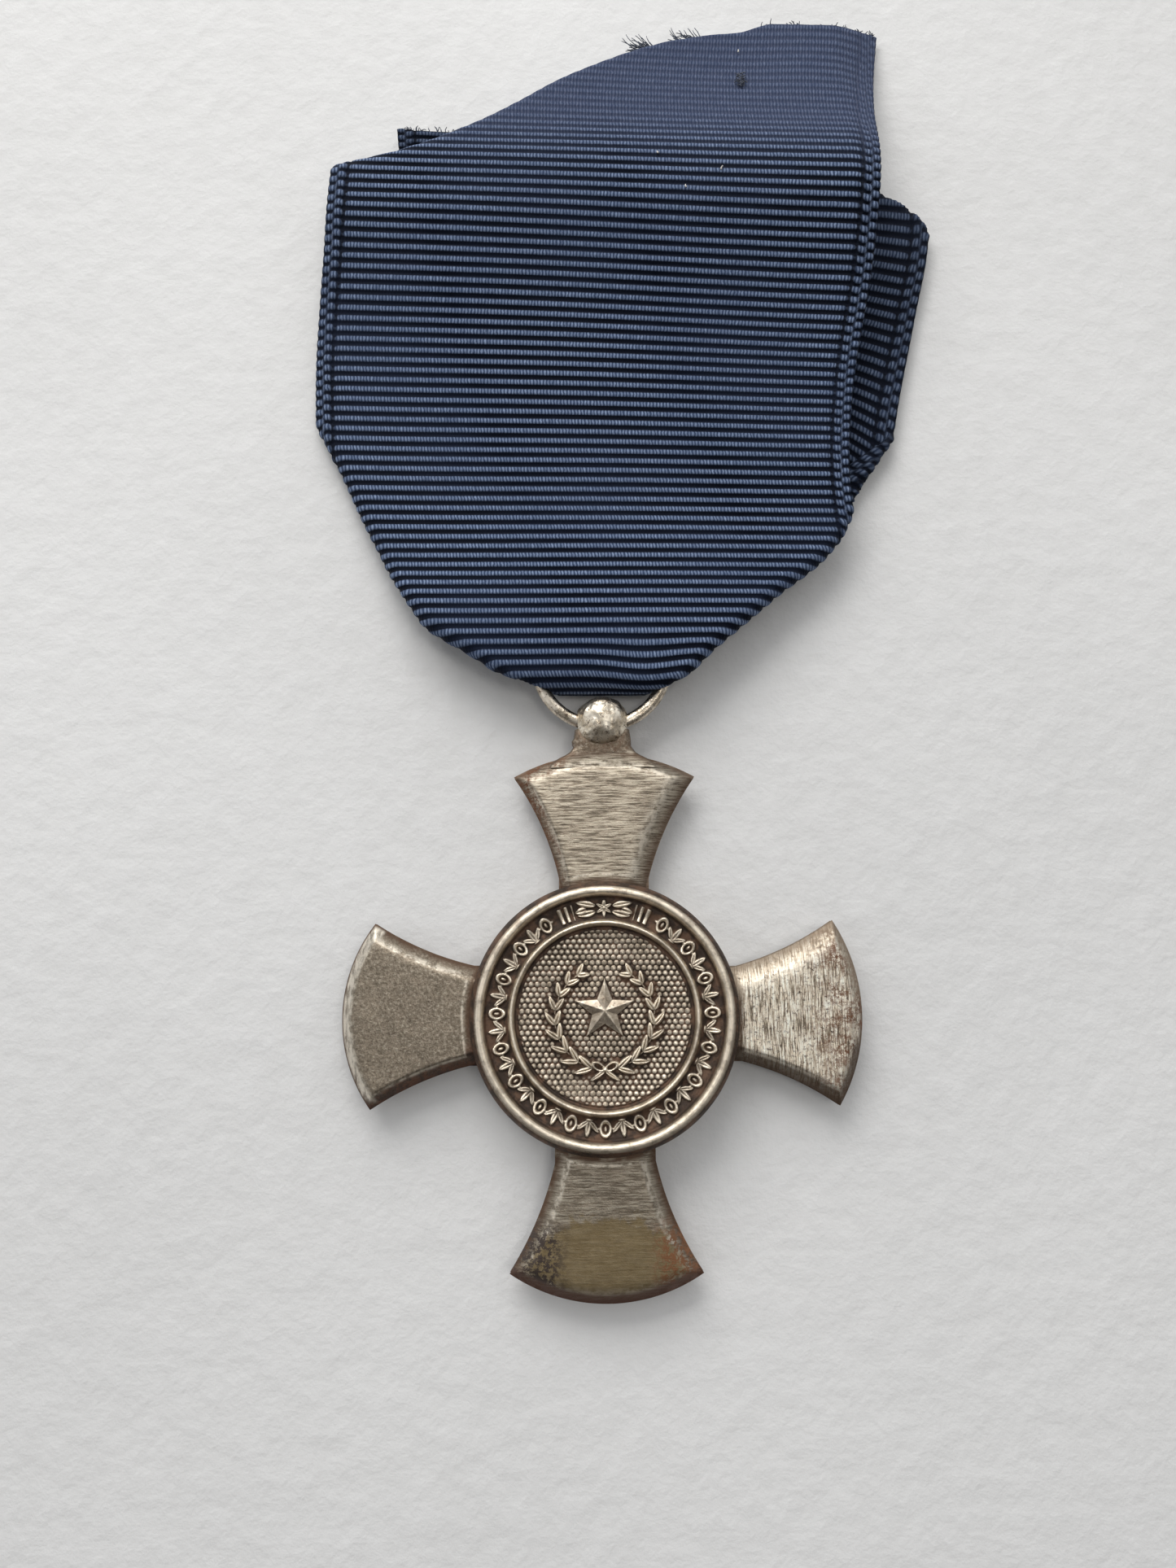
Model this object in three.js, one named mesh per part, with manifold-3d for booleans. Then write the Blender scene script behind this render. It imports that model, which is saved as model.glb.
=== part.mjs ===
// A small merit cross on a folded ribbon, lying flat: a struck cross with a medallion on each face,
// a drilled ball on its top arm, a wire ring through the ball, and a ribbed tape threaded through the ring.
// Millimetres. +X is the wearer's left, +Y runs from the cross up the ribbon, and +Z is the outward normal
// of the decorated face. The origin is the centre of the reverse medallion's flat face.

import * as THREE from 'three';
import { mergeVertices } from 'three/addons/utils/BufferGeometryUtils.js';
import Module from 'manifold-3d';

const wasm = await Module();
wasm.setup();

// ---- driving dimensions ----

const BACK_Z = 0.7;              // back of the arms, above the reverse medallion's rest face
const EDGE_LOW_Z = 1.0;          // the arms' thin edge starts and ends at these heights
const EDGE_HIGH_Z = 1.5;
const PLATEAU_Z = 2.35;          // flat front of the arms
const BACK_CHAMFER = 0.3;
const BEVEL = 0.85;              // width of the front bevel round each arm
const WAIST = { u: 7.3, v: 2.8 };            // where an arm leaves the medallion: reach and half width
const SIDE_RADIUS = 18;                      // concave sides of the arms
const SIDE_ARM = { reach: 15.0, tip: { u: 13.25, v: 5.2 } };     // left and right arms
const LONG_ARM = { reach: 15.4, tip: { u: 13.85, v: 5.35 } };    // top and bottom arms
const ARM_ROOT = 5.5;            // the arms start this far out, inside the hub
const HUB_RADIUS = 7.45;

const MEDALLION_RADIUS = 7.65;
const MEDALLION_Z = 2.1;         // front medallion's seat
const SEAT_GAP = 0.1;
const REVERSE_RADIUS = 7.4;

const BALL_Y = 17.2;
const BALL_RADIUS = 1.65;
const BORE_RADIUS = 0.66;
const NECK = { half: 1.7, top: 16.4, foot: 2.6, low: 0.95, high: 2.3 };

const WIRE_RADIUS = 0.38;
const RING_RADIUS = 3.9;         // to the middle of the wire
const RING_DROP = 0.18;          // the wire's lowest point, below the ball's centre
const RING_SPLIT = 0.08;         // half of the split, in radians
const RING_SPLIT_AT = 0.9;       // the split's place, in radians from +X

const TAPE = 0.42;               // thickness of the ribbon
const PIVOT_CLEAR = 2.1;         // the gather stays this far from the ribbon's swing axis

const BALL_Z = BALL_RADIUS;      // the ball rests on the same surface as the reverse medallion
const RING_Y = BALL_Y - RING_DROP + RING_RADIUS;
const FAR_WIRE_Y = RING_Y + RING_RADIUS;

// ---- solids ----

function solidOf(geometry) {
  const bare = geometry.clone();
  bare.deleteAttribute('normal');
  bare.deleteAttribute('uv');
  const merged = mergeVertices(bare, 1e-5);
  const corners = merged.index.array;
  const kept = [];
  for (let i = 0; i < corners.length; i += 3) {
    const [a, b, c] = [corners[i], corners[i + 1], corners[i + 2]];
    if (a !== b && b !== c && c !== a) kept.push(a, b, c);
  }
  const vertProperties = new Float32Array(merged.attributes.position.array);
  const triVerts = new Uint32Array(kept);
  return new wasm.Manifold(new wasm.Mesh({ numProp: 3, vertProperties, triVerts }));
}

function geometryOf(solid) {
  const mesh = solid.getMesh();
  const geometry = new THREE.BufferGeometry();
  geometry.setAttribute('position', new THREE.BufferAttribute(mesh.vertProperties, 3));
  geometry.setIndex(new THREE.BufferAttribute(mesh.triVerts, 1));
  geometry.computeVertexNormals();
  return geometry;
}

function prism(points, low, high) {
  const shape = new THREE.Shape(points.map(([x, y]) => new THREE.Vector2(x, y)));
  const geometry = new THREE.ExtrudeGeometry(shape, { depth: high - low, bevelEnabled: false });
  return solidOf(geometry.translate(0, 0, low));
}

function cylinderZ(radius, low, high, sides = 72) {
  const geometry = new THREE.CylinderGeometry(radius, radius, high - low, sides);
  return solidOf(geometry.rotateX(Math.PI / 2).translate(0, 0, (low + high) / 2));
}

function cylinderX(radius, length, y, z, sides = 32) {
  const geometry = new THREE.CylinderGeometry(radius, radius, length, sides);
  return solidOf(geometry.rotateZ(Math.PI / 2).translate(0, y, z));
}

function ballSolid(radius) {
  const geometry = new THREE.SphereGeometry(radius, 32, 18);
  return solidOf(geometry.translate(0, BALL_Y, BALL_Z));
}

function turned(profile, segments = 72) {
  const points = profile.map(([r, z]) => new THREE.Vector2(r, z));
  return solidOf(new THREE.LatheGeometry(points, segments).rotateX(Math.PI / 2));
}

// A stack of outlines with equal point counts, each at its own height, closed at both ends.
function lofted(levels) {
  const count = levels[0].outline.length;
  const positions = [];
  const triangles = [];
  for (const { outline, z } of levels) {
    for (const [x, y] of outline) positions.push(x, y, z);
  }
  for (let level = 0; level + 1 < levels.length; level += 1) {
    for (let i = 0; i < count; i += 1) {
      const a = level * count + i;
      const b = level * count + ((i + 1) % count);
      triangles.push(a, b, b + count, a, b + count, a + count);
    }
  }
  const cap = (outline) => THREE.ShapeUtils.triangulateShape(outline.map(([x, y]) => new THREE.Vector2(x, y)), []);
  const top = (levels.length - 1) * count;
  for (const [a, b, c] of cap(levels[0].outline)) triangles.push(a, c, b);
  for (const [a, b, c] of cap(levels[levels.length - 1].outline)) triangles.push(top + a, top + b, top + c);
  const vertProperties = new Float32Array(positions);
  const triVerts = new Uint32Array(triangles);
  return new wasm.Manifold(new wasm.Mesh({ numProp: 3, vertProperties, triVerts }));
}

// ---- the cross ----

// Points on a circle from one angle to another, both ends included.
function arc(centre, radius, from, to, steps) {
  return Array.from({ length: steps + 1 }, (_, i) => {
    const angle = from + ((to - from) * i) / steps;
    return [centre[0] + radius * Math.cos(angle), centre[1] + radius * Math.sin(angle)];
  });
}

// Where circle A meets circle B, on the side of the arm's tip.
function meet(a, radiusA, b, radiusB) {
  const dx = b[0] - a[0];
  const dy = b[1] - a[1];
  const gap = Math.hypot(dx, dy);
  const along = (gap * gap + radiusA * radiusA - radiusB * radiusB) / (2 * gap);
  const off = Math.sqrt(radiusA * radiusA - along * along);
  return [a[0] + (dx * along + dy * off) / gap, a[1] + (dy * along - dx * off) / gap];
}

// One arm along +X: a convex end arc between two concave side arcs. Inset moves all three inwards.
function armOutline(arm, inset) {
  const rise = arm.reach - arm.tip.u;
  const endRadius = (arm.tip.v ** 2 + rise ** 2) / (2 * rise);
  const endCentre = [arm.reach - endRadius, 0];
  const chord = [arm.tip.u - WAIST.u, arm.tip.v - WAIST.v];
  const half = Math.hypot(...chord) / 2;
  const stand = Math.sqrt(SIDE_RADIUS ** 2 - half ** 2) / (2 * half);
  const sideCentre = [
    (arm.tip.u + WAIST.u) / 2 - chord[1] * stand,
    (arm.tip.v + WAIST.v) / 2 + chord[0] * stand,
  ];
  const tip = meet(endCentre, endRadius - inset, sideCentre, SIDE_RADIUS + inset);
  const tipOnEnd = Math.atan2(tip[1], tip[0] - endCentre[0]);
  const tipOnSide = Math.atan2(tip[1] - sideCentre[1], tip[0] - sideCentre[0]);
  const waistOnSide = Math.atan2(WAIST.v - sideCentre[1], WAIST.u - sideCentre[0]);
  const end = arc(endCentre, endRadius - inset, -tipOnEnd, tipOnEnd, 14);
  const upper = arc(sideCentre, SIDE_RADIUS + inset, tipOnSide, waistOnSide, 8).slice(1);
  const root = [ARM_ROOT, WAIST.v - inset];
  const lower = upper.map(([u, v]) => [u, -v]).reverse();
  return [...end, ...upper, root, [root[0], -root[1]], ...lower];
}

function turnOutline(outline, quarterTurns) {
  const angle = (quarterTurns * Math.PI) / 2;
  const [c, s] = [Math.cos(angle), Math.sin(angle)];
  return outline.map(([x, y]) => [x * c - y * s, x * s + y * c]);
}

function armSolid(arm, quarterTurns) {
  const levels = [
    [BACK_CHAMFER, BACK_Z],
    [0, EDGE_LOW_Z],
    [0, EDGE_HIGH_Z],
    [BEVEL, PLATEAU_Z],
  ];
  return lofted(levels.map(([inset, z]) => ({ outline: turnOutline(armOutline(arm, inset), quarterTurns), z })));
}

function neckSolid() {
  const { half, top, foot, low, high } = NECK;
  const footY = LONG_ARM.reach - 0.6;
  const shoulderY = LONG_ARM.reach + 0.25;
  const outline = [[-foot, footY], [foot, footY], [half, shoulderY], [half, top], [-half, top], [-half, shoulderY]];
  return prism(outline, low, high);
}

function planchet() {
  let cross = cylinderZ(HUB_RADIUS, BACK_Z, MEDALLION_Z - SEAT_GAP);
  [SIDE_ARM, LONG_ARM, SIDE_ARM, LONG_ARM].forEach((arm, quarterTurns) => {
    cross = cross.add(armSolid(arm, quarterTurns));
  });
  cross = cross.add(neckSolid());
  cross = cross.subtract(cylinderZ(MEDALLION_RADIUS + SEAT_GAP, MEDALLION_Z - SEAT_GAP, PLATEAU_Z + 1));
  return cross.subtract(ballSolid(BALL_RADIUS + SEAT_GAP));
}

// Plain rim, sunk channel, ornament band, raised inner ring and sunk field, from the outside in.
function frontMedallion() {
  return turned([
    [0, MEDALLION_Z],
    [MEDALLION_RADIUS - 0.15, MEDALLION_Z],
    [MEDALLION_RADIUS, 2.3],
    [7.5, 2.7],
    [7.2, 3.15],
    [7.0, 3.25],
    [6.85, 3.1],
    [6.75, 2.75],
    [5.55, 2.75],
    [5.45, 3.0],
    [5.3, 3.12],
    [5.15, 3.12],
    [5.05, 2.7],
    [0, 2.7],
  ]);
}

function reverseMedallion() {
  return turned([
    [0, 0],
    [6.9, 0],
    [7.25, 0.15],
    [REVERSE_RADIUS, BACK_Z - SEAT_GAP],
    [0, BACK_Z - SEAT_GAP],
  ]);
}

function suspensionBall() {
  return ballSolid(BALL_RADIUS).subtract(cylinderX(BORE_RADIUS, 3 * BALL_RADIUS, BALL_Y, BALL_Z));
}

// ---- the ring ----

class RingPath extends THREE.Curve {
  getPoint(t, target = new THREE.Vector3()) {
    const angle = RING_SPLIT_AT + RING_SPLIT + t * 2 * (Math.PI - RING_SPLIT);
    return target.set(RING_RADIUS * Math.cos(angle), RING_RADIUS * Math.sin(angle), 0);
  }
}

function suspensionRing() {
  const section = new THREE.Shape();
  section.absarc(0, 0, WIRE_RADIUS, 0, 2 * Math.PI);
  const options = { steps: 72, curveSegments: 12, bevelEnabled: false, extrudePath: new RingPath() };
  const wire = new THREE.ExtrudeGeometry(section, options);
  return solidOf(wire.translate(0, RING_Y, BALL_Z));
}

// ---- the ribbon ----

// The tape's lower face, as heights along Y, for each stretch of the folded tape.
const FRONT_RUN = [
  [24, 2.55], [27, 2.0], [30, 1.6], [35, 1.6], [39, 1.9], [43, 2.6],
  [48, 3.7], [51, 4.15], [53.5, 4.05], [58, 2.9], [62, 1.9], [67, 1.1],
];
const TUCK_RUN = FRONT_RUN.map(([y, z]) => [y, z - TAPE - 0.12]);
const BACK_RUN = [[24, 0], [44, 0], [47.5, TAPE + 0.1], [62, TAPE + 0.1]];
const DOG_EAR_RUN = [[46, 0], [62, 0]];
const FOLD_RUN = [[24, 0.55], [48, 0.6]];

// A stretch of tape: its plan outline cut from a sheet that follows one of the runs above.
function tape(outline, run, thickness) {
  const side = new THREE.Shape([
    ...run.map(([y, z]) => new THREE.Vector2(y, z)),
    ...[...run].reverse().map(([y, z]) => new THREE.Vector2(y, z + thickness)),
  ]);
  const sheet = new THREE.ExtrudeGeometry(side, { depth: 60, bevelEnabled: false });
  // Extrusion runs along +Z of the side view; turn it so that the side view's axes become Y and Z.
  sheet.applyMatrix4(new THREE.Matrix4().set(0, 0, 1, -30, 1, 0, 0, 0, 0, 1, 0, 0, 0, 0, 0, 1));
  return solidOf(sheet).intersect(prism(outline, -1, 8));
}

const PANEL_FOOT_Y = FAR_WIRE_Y + 0.25;

// Front half of the tape, above the ring: left corner turned behind along the slanted top edge.
const FRONT_OUTLINE = [
  [-11.6, PANEL_FOOT_Y], [10.6, PANEL_FOOT_Y], [13.3, 27.3], [14.8, 30.8], [15.8, 38.9], [16.9, 46.5],
  [17.7, 52.8], [18.0, 59.5], [19.0, 65.6], [10.0, 65.7], [2.9, 64.1], [-2.5, 61.2], [-8.5, 56.5],
  [-16.0, 52.8], [-17.2, 48.5], [-17.7, 40.0], [-17.4, 34.3], [-15.8, 32.9],
];
// The corner of that half, turned behind it along the slanted edge.
const TUCK_OUTLINE = [[9.4, 64.9], [-15.0, 52.9], [-8.0, 45.5]];
// Back half of the tape, leaning to the right, with its cut end at the top.
const BACK_OUTLINE = [
  [-9.5, PANEL_FOOT_Y], [9.5, PANEL_FOOT_Y], [15.4, 31.0], [17.6, 34.0], [19.4, 40.5], [21.9, 49.5],
  [20.4, 52.4], [8.5, 59.6], [-13.4, 58.9], [-14.6, 47.0], [-15.2, 34.0],
];
// The right corner of that half, turned under it.
const DOG_EAR_OUTLINE = [[8.8, 59.0], [11.8, 47.2], [21.4, 49.7], [20.0, 52.3]];
// The tape's sides, folded in behind the front half so that it narrows to the ring.
const LEFT_FOLD_OUTLINE = [[-3.4, 26.0], [-0.4, 33.2], [-14.0, 34.0], [-15.6, 32.6], [-11.0, 26.4]];
const RIGHT_FOLD_OUTLINE = [[0.6, 26.4], [9.6, 26.2], [13.4, 29.2], [13.6, 32.4], [0.4, 31.2]];

// The tape's waist, bunched through the ring and lying over and under the wire.
function ribbonGather() {
  const wireTop = BALL_Z + WIRE_RADIUS + 0.14;
  const wireFoot = BALL_Z - WIRE_RADIUS - 0.14;
  const over = [[-4.3, 19.3], [-1.4, 19.1], [2.6, 19.0], [3.7, 19.3], [6.2, 21.6], [8.6, 23.9], [-10.6, 23.9], [-8.8, 21.8]];
  const under = [[-3.6, 19.5], [3.0, 19.4], [6.4, 23.0], [-7.2, 23.0]];
  const throat = arc([0, RING_Y], 2.5, 0, 2 * Math.PI, 20).slice(1).map(([x, y]) => [x, RING_Y + (y - RING_Y) * 0.6]);
  const layers = [prism(over, wireTop, 3.4), prism(under, 0.05, wireFoot), prism(throat, 0.6, 2.8)];
  const bunch = layers[0].add(layers[1]).add(layers[2]);
  return bunch.subtract(cylinderX(PIVOT_CLEAR, 40, FAR_WIRE_Y, BALL_Z, 48));
}

// ---- the assembly ----

const silver = { color: 0xa59b89, roughness: 0.42, metalness: 1 };
const medallionMetal = { color: 0x8f8371, roughness: 0.45, metalness: 1 };
const wireMetal = { color: 0xb2a794, roughness: 0.32, metalness: 1 };
const navy = { color: 0x1d2940, roughness: 0.85, metalness: 0 };

const object = new THREE.Group();

function place(name, solid, finish) {
  const mesh = new THREE.Mesh(geometryOf(solid), new THREE.MeshStandardMaterial(finish));
  mesh.name = name;
  object.add(mesh);
}

place('cross_planchet', planchet(), silver);
place('front_medallion', frontMedallion(), medallionMetal);
place('reverse_medallion', reverseMedallion(), medallionMetal);
place('suspension_ball', suspensionBall(), silver);
place('suspension_ring', suspensionRing(), wireMetal);
place('ribbon_gather', ribbonGather(), navy);
place('ribbon_front', tape(FRONT_OUTLINE, FRONT_RUN, TAPE), navy);
place('ribbon_front_corner', tape(TUCK_OUTLINE, TUCK_RUN, TAPE), navy);
place('ribbon_left_fold', tape(LEFT_FOLD_OUTLINE, FOLD_RUN, 2 * TAPE), navy);
place('ribbon_right_fold', tape(RIGHT_FOLD_OUTLINE, FOLD_RUN, 2 * TAPE), navy);
place('ribbon_back', tape(BACK_OUTLINE, BACK_RUN, TAPE), navy);
place('ribbon_back_corner', tape(DOG_EAR_OUTLINE, DOG_EAR_RUN, TAPE - 0.05), navy);

export default object;
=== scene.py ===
import math

import bmesh
import bpy
import numpy as np
from mathutils import Matrix


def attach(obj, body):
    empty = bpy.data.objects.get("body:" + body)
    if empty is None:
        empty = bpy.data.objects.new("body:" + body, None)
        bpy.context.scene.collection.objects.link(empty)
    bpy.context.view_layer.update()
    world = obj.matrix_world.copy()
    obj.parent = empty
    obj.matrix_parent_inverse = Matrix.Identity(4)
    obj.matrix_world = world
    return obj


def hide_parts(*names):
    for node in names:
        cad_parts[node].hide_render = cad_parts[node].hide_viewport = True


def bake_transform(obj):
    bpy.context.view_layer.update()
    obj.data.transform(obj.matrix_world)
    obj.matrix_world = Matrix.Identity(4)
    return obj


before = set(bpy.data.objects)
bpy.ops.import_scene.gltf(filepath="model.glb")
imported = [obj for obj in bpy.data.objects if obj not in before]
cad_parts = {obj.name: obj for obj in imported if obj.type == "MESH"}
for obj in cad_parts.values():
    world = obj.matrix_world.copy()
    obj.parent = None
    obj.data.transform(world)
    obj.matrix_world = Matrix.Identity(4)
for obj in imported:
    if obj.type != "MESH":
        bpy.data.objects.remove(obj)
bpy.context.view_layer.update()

MM = 0.001
TAU = 2 * math.pi

# ---- helpers


def smoothstep(x, low, high):
    t = np.clip((x - low) / (high - low), 0, 1)
    return t * t * (3 - 2 * t)


def dome(t):
    """A half circle's height over t from -1 to 1, and 0 outside."""
    return np.sqrt(np.clip(1 - t * t, 0, 1))


def soft_min(a, b, k):
    """The lesser of a and b, rounded over a width of k where they meet."""
    return 0.5 * (a + b - np.sqrt((a - b) ** 2 + k * k))


def curve(table, x):
    """A smooth curve through the table's points, flat beyond its ends."""
    xs, ys = np.array(table, float).T
    slopes = np.gradient(ys, xs)
    x = np.clip(x, xs[0], xs[-1])
    i = np.clip(np.searchsorted(xs, x) - 1, 0, len(xs) - 2)
    span = xs[i + 1] - xs[i]
    t = (x - xs[i]) / span
    return (
        (1 + 2 * t) * (1 - t) ** 2 * ys[i]
        + t * (1 - t) ** 2 * span * slopes[i]
        + t * t * (3 - 2 * t) * ys[i + 1]
        + t * t * (t - 1) * span * slopes[i + 1]
    )


def hashed(cell, seed):
    """A fixed number from 0 to 1 for each whole-numbered cell."""
    h = cell[..., 0] * 73856093 ^ cell[..., 1] * 19349663 ^ cell[..., 2] * 83492791 ^ seed * 26544357
    h = ((h ^ (h >> 13)) * 1274126177) & 0xFFFFFFFF
    h = ((h ^ (h >> 15)) * 2246822519) & 0xFFFFFFFF
    return ((h >> 8) & 0xFFFF) / 65535.0


def noise(points, size, seed, octaves=1):
    """Value noise from -1 to 1 at points of shape (..., 3)."""
    total = 0.0
    for octave in range(octaves):
        p = points / (size / 2**octave)
        cell = np.floor(p).astype(np.int64)
        f = p - cell
        f = f * f * (3 - 2 * f)
        value = 0.0
        for corner in range(8):
            step = np.array([corner & 1, corner >> 1 & 1, corner >> 2 & 1])
            value = value + np.prod(np.where(step, f, 1 - f), axis=-1) * hashed(cell + step, seed + octave)
        total = total + (2 * value - 1) / 2**octave
    return total


def grid_quads(rows, cols, close_rows=False, close_cols=False):
    r = np.arange(rows if close_rows else rows - 1)
    c = np.arange(cols if close_cols else cols - 1)
    r, c = np.meshgrid(r, c, indexing="ij")
    r2, c2 = (r + 1) % rows, (c + 1) % cols
    return np.stack([r * cols + c, r * cols + c2, r2 * cols + c2, r2 * cols + c], -1).reshape(-1, 4)


def border(rows, cols):
    """The indices once round a grid of points."""
    index = np.arange(rows * cols).reshape(rows, cols)
    return np.concatenate([index[0, :-1], index[:-1, -1], index[-1, :0:-1], index[:0:-1, 0]])


def xyz(x, y, z):
    """Points of shape (..., 3) from coordinates that spread over each other."""
    return np.stack(np.broadcast_arrays(x, y, z), -1)


def scene_object(name, data):
    obj = bpy.data.objects.new(name, data)
    bpy.context.scene.collection.objects.link(obj)
    return obj


def piece(name, points, faces):
    """A smooth mesh object from points in millimetres, with its faces turned outwards."""
    mesh = bpy.data.meshes.new(name)
    places = (np.asarray(points) * MM).tolist()
    mesh.from_pydata(places, [], faces if isinstance(faces, list) else faces.tolist())
    mesh.validate()
    mesh.shade_smooth()
    shape = bmesh.new()
    shape.from_mesh(mesh)
    bmesh.ops.recalc_face_normals(shape, faces=shape.faces)
    shape.to_mesh(mesh)
    shape.free()
    return scene_object(name, mesh)


def loft_rings(rings, name):
    """A closed tube from equal rings of points, capped at both ends."""
    rings = np.array(rings)
    rows, cols = rings.shape[:2]
    points = np.concatenate([rings.reshape(-1, 3), [rings[0].mean(0)], [rings[-1].mean(0)]])
    faces = grid_quads(rows, cols, close_cols=True).tolist()
    first, last = rows * cols, rows * cols + 1
    top = (rows - 1) * cols
    for i in range(cols):
        j = (i + 1) % cols
        faces.append([j, i, first])
        faces.append([top + i, top + j, last])
    return piece(name, points, faces)


def turned(name, profile, sides):
    """A solid turned about Z from a profile of heights and radii."""
    angles = np.linspace(0, TAU, sides, endpoint=False)
    return loft_rings([xyz(r * np.cos(angles), r * np.sin(angles), z) for z, r in profile], name)


def coords(obj):
    co = np.empty(len(obj.data.vertices) * 3)
    obj.data.vertices.foreach_get("co", co)
    return co.reshape(-1, 3) / MM


def attribute(obj, name, values):
    layer = obj.data.attributes.new(name, "FLOAT", "POINT")
    layer.data.foreach_set("value", np.asarray(values, np.float32).ravel())


# ---- the cross

PLATEAU_Z = 2.35
EDGE_Z = 1.5
LOW_EDGE_Z = 1.0
NECK_Z = 1.6
BACK_Z = 0.7
NECK_START = 15.3
SIDE_RADIUS = 18.0
ROOT_U = 5.5


class Arm:
    """One arm in its own axes: u outwards, v to the left of u. Plus is the side of positive v."""

    def __init__(self, turns, reach, tips, waists, bevels, softness):
        angle = turns * math.pi / 2
        self.c, self.s = round(math.cos(angle)), round(math.sin(angle))
        self.tips = [np.array(t, float) for t in tips]
        self.waists = [np.array(w, float) for w in waists]
        self.bevels = bevels
        self.softness = softness
        self.sides = []
        for tip, waist, sign in zip(self.tips, self.waists, (1, -1)):
            chord = tip - waist
            half = np.hypot(*chord) / 2
            stand = math.sqrt(SIDE_RADIUS**2 - half**2) / (2 * half)
            normal = np.array([-chord[1], chord[0]]) * sign
            self.sides.append((tip + waist) / 2 + normal * stand)
        mid_u = (self.tips[0][0] + self.tips[1][0]) / 2
        half_v = (self.tips[0][1] - self.tips[1][1]) / 2
        rise = reach - mid_u
        self.end_radius = (half_v**2 + rise**2) / (2 * rise)
        self.end_centre = np.array([reach - self.end_radius, (self.tips[0][1] + self.tips[1][1]) / 2])

    def world(self, u, v):
        return u * self.c - v * self.s, u * self.s + v * self.c

    def local(self, x, y):
        return x * self.c + y * self.s, -x * self.s + y * self.c

    def side_curve(self, k, a):
        """The side's points from the root (a = 0) to the tip (a = 1)."""
        centre, tip, waist = self.sides[k], self.tips[k], self.waists[k]
        u = ROOT_U + a * (tip[0] - ROOT_U)
        sign = 1 if k == 0 else -1
        v = centre[1] - sign * np.sqrt(np.maximum(SIDE_RADIUS**2 - (u - centre[0]) ** 2, 0))
        return u, np.where(u < waist[0], waist[1], v)

    def distances(self, u, v):
        """Distance in from the plus side, the minus side and the end."""
        found = [np.hypot(u - c[0], v - c[1]) - SIDE_RADIUS for c in self.sides]
        found.append(self.end_radius - np.hypot(u - self.end_centre[0], v - self.end_centre[1]))
        return found

    def bevel(self, u, v):
        """0 at the outline, 1 on the flat top."""
        rises = [
            soft_min(d / w, 1.0, s) for d, w, s in zip(self.distances(u, v), self.bevels, self.softness)
        ]
        return soft_min(soft_min(rises[0], rises[1], 0.05), rises[2], 0.1)

    def solid(self, name):
        """The arm's top with its bevels, its slightly bulged wall and its back with a raised edge."""
        rows, cols = 130, 110
        a = np.linspace(0, 1, rows)[:, None]
        even = np.linspace(0, 1, cols)[None, :]
        t = 0.65 * even + 0.35 * (0.5 - 0.5 * np.cos(math.pi * even))
        minus_u, minus_v = self.side_curve(1, a)
        plus_u, plus_v = self.side_curve(0, a)
        u = minus_u * (1 - t) + plus_u * t
        v = minus_v * (1 - t) + plus_v * t
        end_v = self.tips[1][1] * (1 - t) + self.tips[0][1] * t
        arc_u = self.end_centre[0] + np.sqrt(self.end_radius**2 - (end_v - self.end_centre[1]) ** 2)
        u = u + a**3 * (arc_u - (self.tips[1][0] * (1 - t) + self.tips[0][0] * t))
        rise = np.clip(self.bevel(u, v), 0, 1.05)
        inward = np.clip(np.minimum.reduce(self.distances(u, v)), 0, 1)
        x, y = self.world(u, v)
        flat = xyz(x, y, 0)
        dents = 0.022 * noise(flat, 1.9, 3, 2) + 0.007 * noise(flat, 0.33, 9, 2)
        top = EDGE_Z + (PLATEAU_Z - EDGE_Z) * rise + dents * smoothstep(inward, 0, 0.3)
        low = BACK_Z + (LOW_EDGE_Z - BACK_Z) * (1 - smoothstep(inward, 0, 0.32))
        upper = xyz(x, y, top).reshape(-1, 3)
        lower = xyz(x, y, low).reshape(-1, 3)
        loop = border(rows, cols)
        edge = upper[loop]
        tangent = np.roll(edge, -1, 0) - np.roll(edge, 1, 0)
        normal = xyz(tangent[:, 1], -tangent[:, 0], 0)
        normal /= np.linalg.norm(normal, axis=1, keepdims=True) + 1e-9
        walls = []
        for drop, bulge in ((0.2, 0.045), (0.5, 0.06), (0.8, 0.045)):
            ring = edge + normal * bulge
            ring[:, 2] = edge[:, 2] * (1 - drop) + lower[loop][:, 2] * drop
            walls.append(ring)
        points = np.concatenate([upper, *walls, lower])
        n, m = rows * cols, len(loop)
        bands = [loop] + [n + k * m + np.arange(m) for k in range(3)] + [n + 3 * m + loop]
        quads = grid_quads(rows, cols)
        faces = [quads, quads[:, ::-1] + n + 3 * m]
        for first, second in zip(bands, bands[1:]):
            faces.append(np.stack([np.roll(first, -1), first, second, np.roll(second, -1)], -1))
        return piece(name, points, np.concatenate(faces))


ARM_RIGHT = Arm(
    turns=0, reach=14.75, tips=[(13.23, 5.4), (13.28, -5.01)], waists=[(7.6, 2.8), (7.77, -2.54)],
    bevels=(1.0, 0.75, 0.6), softness=(0.5, 0.12, 0.4),
)
ARM_TOP = Arm(
    turns=1, reach=15.35, tips=[(14.02, 5.27), (13.82, -5.45)], waists=[(7.9, 2.6), (7.9, -2.65)],
    bevels=(0.62, 1.15, 0.8), softness=(0.1, 0.35, 0.4),
)
ARM_LEFT = Arm(
    turns=2, reach=15.0, tips=[(13.25, 5.11), (13.25, -5.32)], waists=[(7.67, 2.72), (7.47, -2.89)],
    bevels=(0.68, 0.85, 0.7), softness=(0.12, 0.2, 0.25),
)
ARM_BOTTOM = Arm(
    turns=3, reach=15.4, tips=[(13.87, 5.37), (13.78, -5.32)], waists=[(7.9, 2.81), (8.06, -2.83)],
    bevels=(0.9, 0.9, 0.9), softness=(0.2, 0.14, 0.3),
)
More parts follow.
